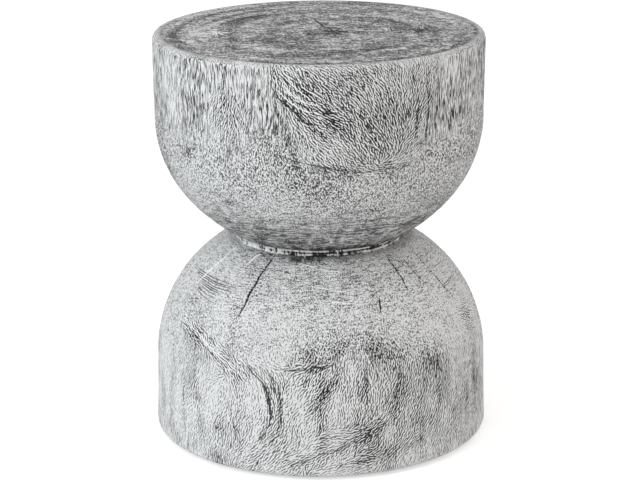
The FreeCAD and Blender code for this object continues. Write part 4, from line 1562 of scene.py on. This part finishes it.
DOME_HAIRLINES = (
    *thin(Trace.FILLED, 3.2 * MM,
          ((-62.3, 0.2485), (-61.4, 0.237), (-64.1, 0.2125), (-66.0, 0.2040)),
          ((-39.0, 0.2488), (-41.0, 0.2465), (-42.4, 0.238))),
    ThinCheck(((5.3, 0.247), (4.0, 0.2255)), Trace.FILLED),
    ThinCheck(((-12.0, 0.2462), (5.0, 0.2395), (26.0, 0.2345)), Trace.FILLED, 2.4 * MM),
    *thin(Trace.FILLED, 1.8 * MM,
          ((-14.0, 0.2300), (4.0, 0.2230), (22.0, 0.2160)),
          ((0.0, 0.2130), (12.0, 0.2090), (20.0, 0.2060))),
)
DOME_FINE_LINES = (
    *thin(Trace.OPEN, 1.8 * MM,
          ((-25.6, 0.1367), (-19.7, 0.1199), (-17.3, 0.0995), (-16.3, 0.0782), (-19.3, 0.0516))),
    *thin(Trace.OPEN, 1.2 * MM,
          ((-24.2, 0.1367), (-18.4, 0.1199), (-16.1, 0.0995), (-15.1, 0.0782), (-18.1, 0.0516))),
    *thin(Trace.OPEN, 1.4 * MM, ((-18.7, 0.1352), (-14.6, 0.1212), (-13.5, 0.1007), (-13.9, 0.0796))),
    *thin(Trace.OPEN, 1.2 * MM, ((-60.9, 0.1657), (-50.4, 0.1562), (-40.7, 0.1417), (-35.4, 0.1312))),
    *thin(Trace.FILLED, 1.6 * MM, ((-60.0, 0.1677), (-49.5, 0.1596), (-39.8, 0.1449), (-34.5, 0.1342))),
    *thin(Trace.OPEN, 1.3 * MM, ((-12.7, 0.1384), (-7.1, 0.1381), (-0.3, 0.1419), (6.6, 0.1465))),
    *thin(Trace.OPEN, 1.0 * MM, ((16.3, 0.2447), (13.4, 0.2241))),
    *thin(Trace.FILLED, 1.6 * MM, ((38.9, 0.2097), (47.5, 0.2102), (54.3, 0.2067))),
    *thin(Trace.OPEN, 1.1 * MM,
          ((-79.6, 0.2173), (-64.3, 0.2181), (-54.5, 0.2181), (-42.8, 0.2180)),
          ((-77.4, 0.2155), (-63.2, 0.2160), (-52.8, 0.2150), (-42.0, 0.2158)),
          ((-72.1, 0.2139), (-61.4, 0.2144), (-52.1, 0.2134), (-41.3, 0.2139)),
          ((-69.4, 0.2122), (-59.6, 0.2120), (-51.1, 0.2106), (-40.8, 0.2112)),
          ((-66.7, 0.2106), (-58.1, 0.2095), (-47.5, 0.2080)),
          ((-64.7, 0.2091), (-56.4, 0.2072), (-47.3, 0.2061)),
          ((-63.6, 0.2070), (-56.0, 0.2048), (-48.0, 0.2036)),
          ((-63.3, 0.2045), (-57.0, 0.2020), (-50.0, 0.2000)),
          FAN_FOOT,
          ((60.3, 0.2044), (66.1, 0.2042), (77.8, 0.2049)),
          ((61.6, 0.2018), (66.5, 0.2023), (73.6, 0.2033))),
    *thin(Trace.FILLED, 1.8 * MM, ((52.9, 0.2200), (59.3, 0.2208)), ((51.3, 0.2281), (58.0, 0.2283))),
    *thin(Trace.OPEN, 1.1 * MM,
          ((63.5, 0.2223), (70.9, 0.2216), (78.9, 0.2203)),
          ((65.6, 0.2335), (71.3, 0.2333), (75.7, 0.2339))),
)
SWIRL_LINES = (
    *thin(Trace.OPEN, 1.6 * MM,
          ((-14.8, 0.5026), (-15.5, 0.4819), (-12.3, 0.4649), (-7.0, 0.4531), (-2.2, 0.4362))),
    *thin(Trace.OPEN, 1.4 * MM,
          ((-13.6, 0.4926), (-11.7, 0.4767), (-7.0, 0.4649), (-2.0, 0.4578), (3.5, 0.4531))),
    *thin(Trace.OPEN, 1.2 * MM,
          ((-12.6, 0.4971), (-8.5, 0.4801), (-3.7, 0.4677), (2.3, 0.4641)),
          ((-8.9, 0.4990), (-6.1, 0.4832), (-1.7, 0.4716)),
          ((-6.7, 0.5021), (-3.3, 0.4804), (-0.3, 0.4745)),
          ((-4.0, 0.5023), (-0.9, 0.4833))),
    *thin(Trace.OPEN, 1.6 * MM, ((-13.3, 0.4706), (-8.6, 0.4559), (-3.6, 0.4385))),
    *thin(Trace.OPEN, 1.8 * MM, ((-4.6, 0.4533), (1.1, 0.4436), (4.4, 0.4339))),
    *thin(Trace.OPEN, 1.2 * MM,
          ((-18.1, 0.4055), (-13.0, 0.4022), (-7.2, 0.3954), (0.2, 0.3889), (6.8, 0.3844), (14.4, 0.3798),
           (21.4, 0.3822))),
    *thin(Trace.FILLED, 1.6 * MM,
          ((-14.2, 0.4974), (-13.6, 0.4794), (-9.6, 0.4653), (-4.6, 0.4554), (0.7, 0.4451)),
          ((-13.0, 0.4941), (-10.1, 0.4776), (-5.3, 0.4662), (0.3, 0.4610)),
          ((-10.8, 0.4979), (-7.3, 0.4811), (-2.8, 0.4692)),
          ((-7.8, 0.5006), (-4.7, 0.4818), (-1.0, 0.4728))),
)
SEAM_STRANDS = thin(
    Trace.FILLED, 1.7 * MM,
    ((-27.0, 0.2590), (-28.9, 0.2520), (-31.4, 0.2480)),
    ((-7.8, 0.2600), (-9.4, 0.2530), (-10.8, 0.2470)),
    ((9.3, 0.2610), (11.5, 0.2560), (11.8, 0.2480)),
    ((46.0, 0.2580), (47.7, 0.2510), (47.5, 0.2450)),
)
TOP_CHECKS = (
    *star((18, -10), 22, 11, Trace.OPEN, 5.4 * MM),
    *star((124, -2), 20, 7, Trace.OPEN, 4.4 * MM),
    *star((-125, -11), 19, 13, Trace.FILLED, 2.8 * MM),
    ThinCheck(((-7, 79), (-1, 53), (5, 27), (12, 8)), Trace.OPEN, 3.2 * MM),
    ThinCheck(((80, 19), (88, 14), (90, -4), (82, -12)), Trace.OPEN),
    ThinCheck(((77, 12), (83, 7), (84, -3)), Trace.FILLED),
    *thin(Trace.FILLED, 1.1 * MM,
          ((46, -3), (60, -6), (76, -2)), ((94, 0), (105, -8), (118, -5)), ((68, 103), (76, 122)),
          ((84, 142), (97, 155))),
)


@dataclass(frozen=True)
class ThinChecks:
    """Thin checks and fine lines on both halves, strands over the seam and checks on the table top.

    Places on the sides are azimuths in degrees and heights, and on the top X and Y in millimetres.
    """

    dome: TurnedHalf
    bowl: TurnedHalf
    proud: float = 0.35 * MM
    top_proud: float = 0.15 * MM
    strand_proud: float = 1.2 * MM
    wobble_degrees: float = 0.35
    top_wobble: float = 1.2 * MM
    wobbles: float = 9.0
    noise_seed: int = 17
    dome_out: Pair = (0.8, 0.6)
    end_share: float = 0.03
    plain_width: float = 0.75
    width_ragged: float = 0.35
    steps: int = 40
    sides: int = 8

    def build(self) -> list[Piece]:
        """Builds one ridge per check."""
        pieces = []
        for name, checks, surface, proud in (
            ("dome_hairline", DOME_HAIRLINES, self.on_dome, self.proud),
            ("fine_line", DOME_FINE_LINES, self.on_dome, self.proud),
            ("swirl_line", SWIRL_LINES, self.on_bowl, self.proud),
            ("seam_strand", SEAM_STRANDS, self.over_seam, self.strand_proud),
        ):
            for number, check in enumerate(checks, start=1):
                azimuth, height, ragged = self.spread(check, number)
                path, out = surface(np.radians(azimuth + self.wobble_degrees * ragged), height)
                pieces.append(self.ridge(f"{name}_{number}", check, path, out * proud, ragged))
        top = np.full(self.steps, self.bowl.heights(self.bowl.outline.end_rise))
        out = np.tile([0, 0, self.top_proud], (self.steps, 1))
        for number, check in enumerate(TOP_CHECKS, start=1):
            across, beyond, ragged = self.spread(check, number + len(DOME_HAIRLINES))
            path = np.column_stack([across * MM, beyond * MM + self.top_wobble * ragged, top])
            pieces.append(self.ridge(f"top_check_{number}", check, path, out, ragged))
        return pieces

    def spread(self, check: ThinCheck, number: int) -> tuple[Array, Array, Array]:
        """Even steps along a check's places, and a noise for each step."""
        order = np.arange(len(check.places))
        share = np.linspace(0, order[-1], self.steps)
        first, second = (np.interp(share, order, column) for column in np.array(check.places).T)
        return first, second, line_noise(share * self.wobbles, number, self.noise_seed)

    def on_dome(self, azimuth: Array, height: Array) -> tuple[Array, Array]:
        """Places on the dome's brushed surface, and roughly the way out of it."""
        outward, upward = self.dome_out
        return self.dome.side_places(azimuth, height), round_table(outward, azimuth, upward)

    def on_bowl(self, azimuth: Array, height: Array) -> tuple[Array, Array]:
        """Places on the bowl's brushed wall, and the way out of it."""
        return self.bowl.side_places(azimuth, height), round_table(1.0, azimuth, 0.0)

    def over_seam(self, azimuth: Array, height: Array) -> tuple[Array, Array]:
        """Places on the bowl's neck, on the bead's face and on the dome, and the way out of them."""
        low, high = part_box("seam_filler")
        radius = np.where(height < low.z, self.dome.plain_radius(height), high.x)
        radius = np.where(height > high.z, self.bowl.plain_radius(height), radius)
        return round_table(radius, azimuth, height), round_table(1.0, azimuth, 0.0)

    def ridge(self, name: str, check: ThinCheck, path: Array, rise: Array, ragged: Array) -> Piece:
        """A ridge along a path: an oval of the check's width, which tapers at both ends.

        Args:
            name: the piece's name.
            path: its middle line, of shape (steps, 3).
            rise: how far it stands out of the wood at each step, of shape (steps, 3).
            ragged: noise that varies its width.

        Returns:
            The ridge's object.
        """
        across = np.cross(np.gradient(path, axis=0), rise)
        across *= check.width / 2 / np.linalg.norm(across, axis=1, keepdims=True)
        along = np.linspace(self.end_share, 1 - self.end_share, self.steps)
        taper = np.sin(math.pi * along) ** 0.5 * (self.plain_width + self.width_ragged * ragged)
        angle = np.linspace(0, 2 * math.pi, self.sides, endpoint=False)[None, :, None]
        oval = across[:, None, :] * np.cos(angle) + rise[:, None, :] * np.sin(angle)
        places = path[:, None, :] + oval * taper[:, None, None]
        crest = np.full(places.shape[:2], check.trace.value)
        return grid_piece(name, places, close_rows=False, marks={"crest": crest})


# Studio

@dataclass(frozen=True)
class Lamp:
    """A square soft light."""

    name: str
    place: Triple
    size: float
    power: float
    colour: Triple
    aim: Triple = (0.0, 0.0, 0.25)

    def build(self) -> None:
        """Builds the light, facing the table's middle."""
        light = bpy.data.lights.new(self.name, "AREA")
        light.size = self.size
        light.energy = self.power
        light.color = self.colour
        stand = bpy.data.objects.new(self.name, light)
        stand.location = self.place
        stand.rotation_euler = (Vector(self.aim) - Vector(self.place)).to_track_quat("-Z", "Y").to_euler()
        bpy.context.collection.objects.link(stand)


@dataclass(frozen=True)
class Studio:
    """Camera at the photograph's viewing angle, soft light from the front left and a pale floor."""

    camera_distance: float = 2.618
    camera_height: float = 1.039
    pitch: float = 16.99
    roll: float = -0.37
    focal_pixels: float = 2167.0
    image_width: float = 640.0
    sensor_width: float = 36.0
    lamps: tuple[Lamp, ...] = (
        Lamp("key", (-3.3, -2.2, 2.2), 2.6, 84, (0.88, 0.95, 1.0)),
        Lamp("fill", (3.2, -2.2, 1.4), 2.4, 20, (1.0, 0.93, 0.84)),
    )
    ambient: Colour = grey(1.0, 0.012)
    ambient_strength: float = 0.66
    floor_size: float = 14.0
    floor_grey: float = 0.8
    floor_roughness: float = 0.9
    floor_glow: float = 0.5

    def build(self) -> None:
        """Builds the camera, lights, world and floor."""
        scene = bpy.context.scene
        scene.view_settings.view_transform = "Standard"
        self.build_camera(scene)
        for lamp in self.lamps:
            lamp.build()
        self.build_world(scene)
        self.build_floor()

    def build_camera(self, scene: bpy.types.Scene) -> None:
        """A camera pitched down and rolled a little, with no shift."""
        camera = bpy.data.cameras.new("camera")
        camera.sensor_width = self.sensor_width
        camera.lens = self.focal_pixels * self.sensor_width / self.image_width
        pitch = math.radians(self.pitch)
        roll = math.radians(self.roll)
        forward = Vector((0, math.cos(pitch), -math.sin(pitch)))
        level = Vector((1, 0, 0))
        right = math.cos(roll) * level + math.sin(roll) * level.cross(forward)
        turn = Matrix((right, right.cross(forward), -forward)).transposed()
        stand = bpy.data.objects.new("camera", camera)
        place = Matrix.Translation((0, -self.camera_distance, self.camera_height))
        stand.matrix_world = place @ turn.to_4x4()
        bpy.context.collection.objects.link(stand)
        scene.camera = stand

    @staticmethod
    def seen(wiring: Wiring) -> Socket:
        """One for rays that the viewer, a reflection or a clear body sends."""
        path = wiring.add("ShaderNodeLightPath")
        both = wiring.math("MAXIMUM", path.outputs["Is Camera Ray"], path.outputs["Is Glossy Ray"])
        return wiring.math("MAXIMUM", both, path.outputs["Is Transmission Ray"])

    def build_world(self, scene: bpy.types.Scene) -> None:
        """A white backdrop whose light on the table is soft and even."""
        world = bpy.data.worlds.new("studio")
        world.use_nodes = True
        wiring = Wiring(world.node_tree)
        seen = self.seen(wiring)
        wiring.fill(world.node_tree.nodes["Background"], {
            "Color": wiring.mix_colour(seen, self.ambient, grey(1.0)),
            "Strength": wiring.mix_value(seen, self.ambient_strength, 1.0),
        })
        scene.world = world

    def build_floor(self) -> None:
        """A pale floor that shows white, apart from the table's shadow."""
        half = self.floor_size / 2
        mesh = bpy.data.meshes.new("floor")
        corners = [(-half, -half, 0), (half, -half, 0), (half, half, 0), (-half, half, 0)]
        mesh.from_pydata(corners, [], [(0, 1, 2, 3)])
        floor = bpy.data.objects.new("floor", mesh)
        bpy.context.collection.objects.link(floor)
        material, wiring, shader = new_material("pale_floor")
        wiring.fill(shader, {
            "Base Color": grey(self.floor_grey), "Roughness": self.floor_roughness,
            "Emission Color": grey(1.0),
            "Emission Strength": wiring.math("MULTIPLY", self.seen(wiring), self.floor_glow),
        })
        mesh.materials.append(material)


def main() -> None:
    """Builds the studio and every piece, in order from the outside in."""
    logging.basicConfig(level=logging.INFO, format="%(message)s")
    Studio().build()
    effects = WoodEffects()
    wood = WhitewashedWood(effects).build()
    paste = FillerPaste(effects).build()
    steel = ZincSteel().build()
    beech = BeechDowel().build()
    plastic = MouldedPlastic().build()
    bowl, dome = upper_bowl(), lower_dome()
    for half in (bowl, dome):
        settle(half.build(), wood, "whitewashed_wood", half.node)
    settle(SeamBead().build(), paste, "seam_filler", "seam_filler")
    for check in ThinChecks(dome, bowl).build():
        settle(check, paste, "seam_filler")
    settle(ThreadedRod().build(), steel, "zinc_steel", "tie_rod")
    finishes = {"zinc_steel": steel, "dowel_wood": beech, "glide_plastic": plastic}
    shown = {"upper_bowl", "lower_dome", "seam_filler", "tie_rod"}
    for part in frame["record"]["subparts"]:
        if part["node"] not in shown:
            dress_node(part["node"], finishes[part["material_slot"]])


if __name__ == "__main__":
    main()
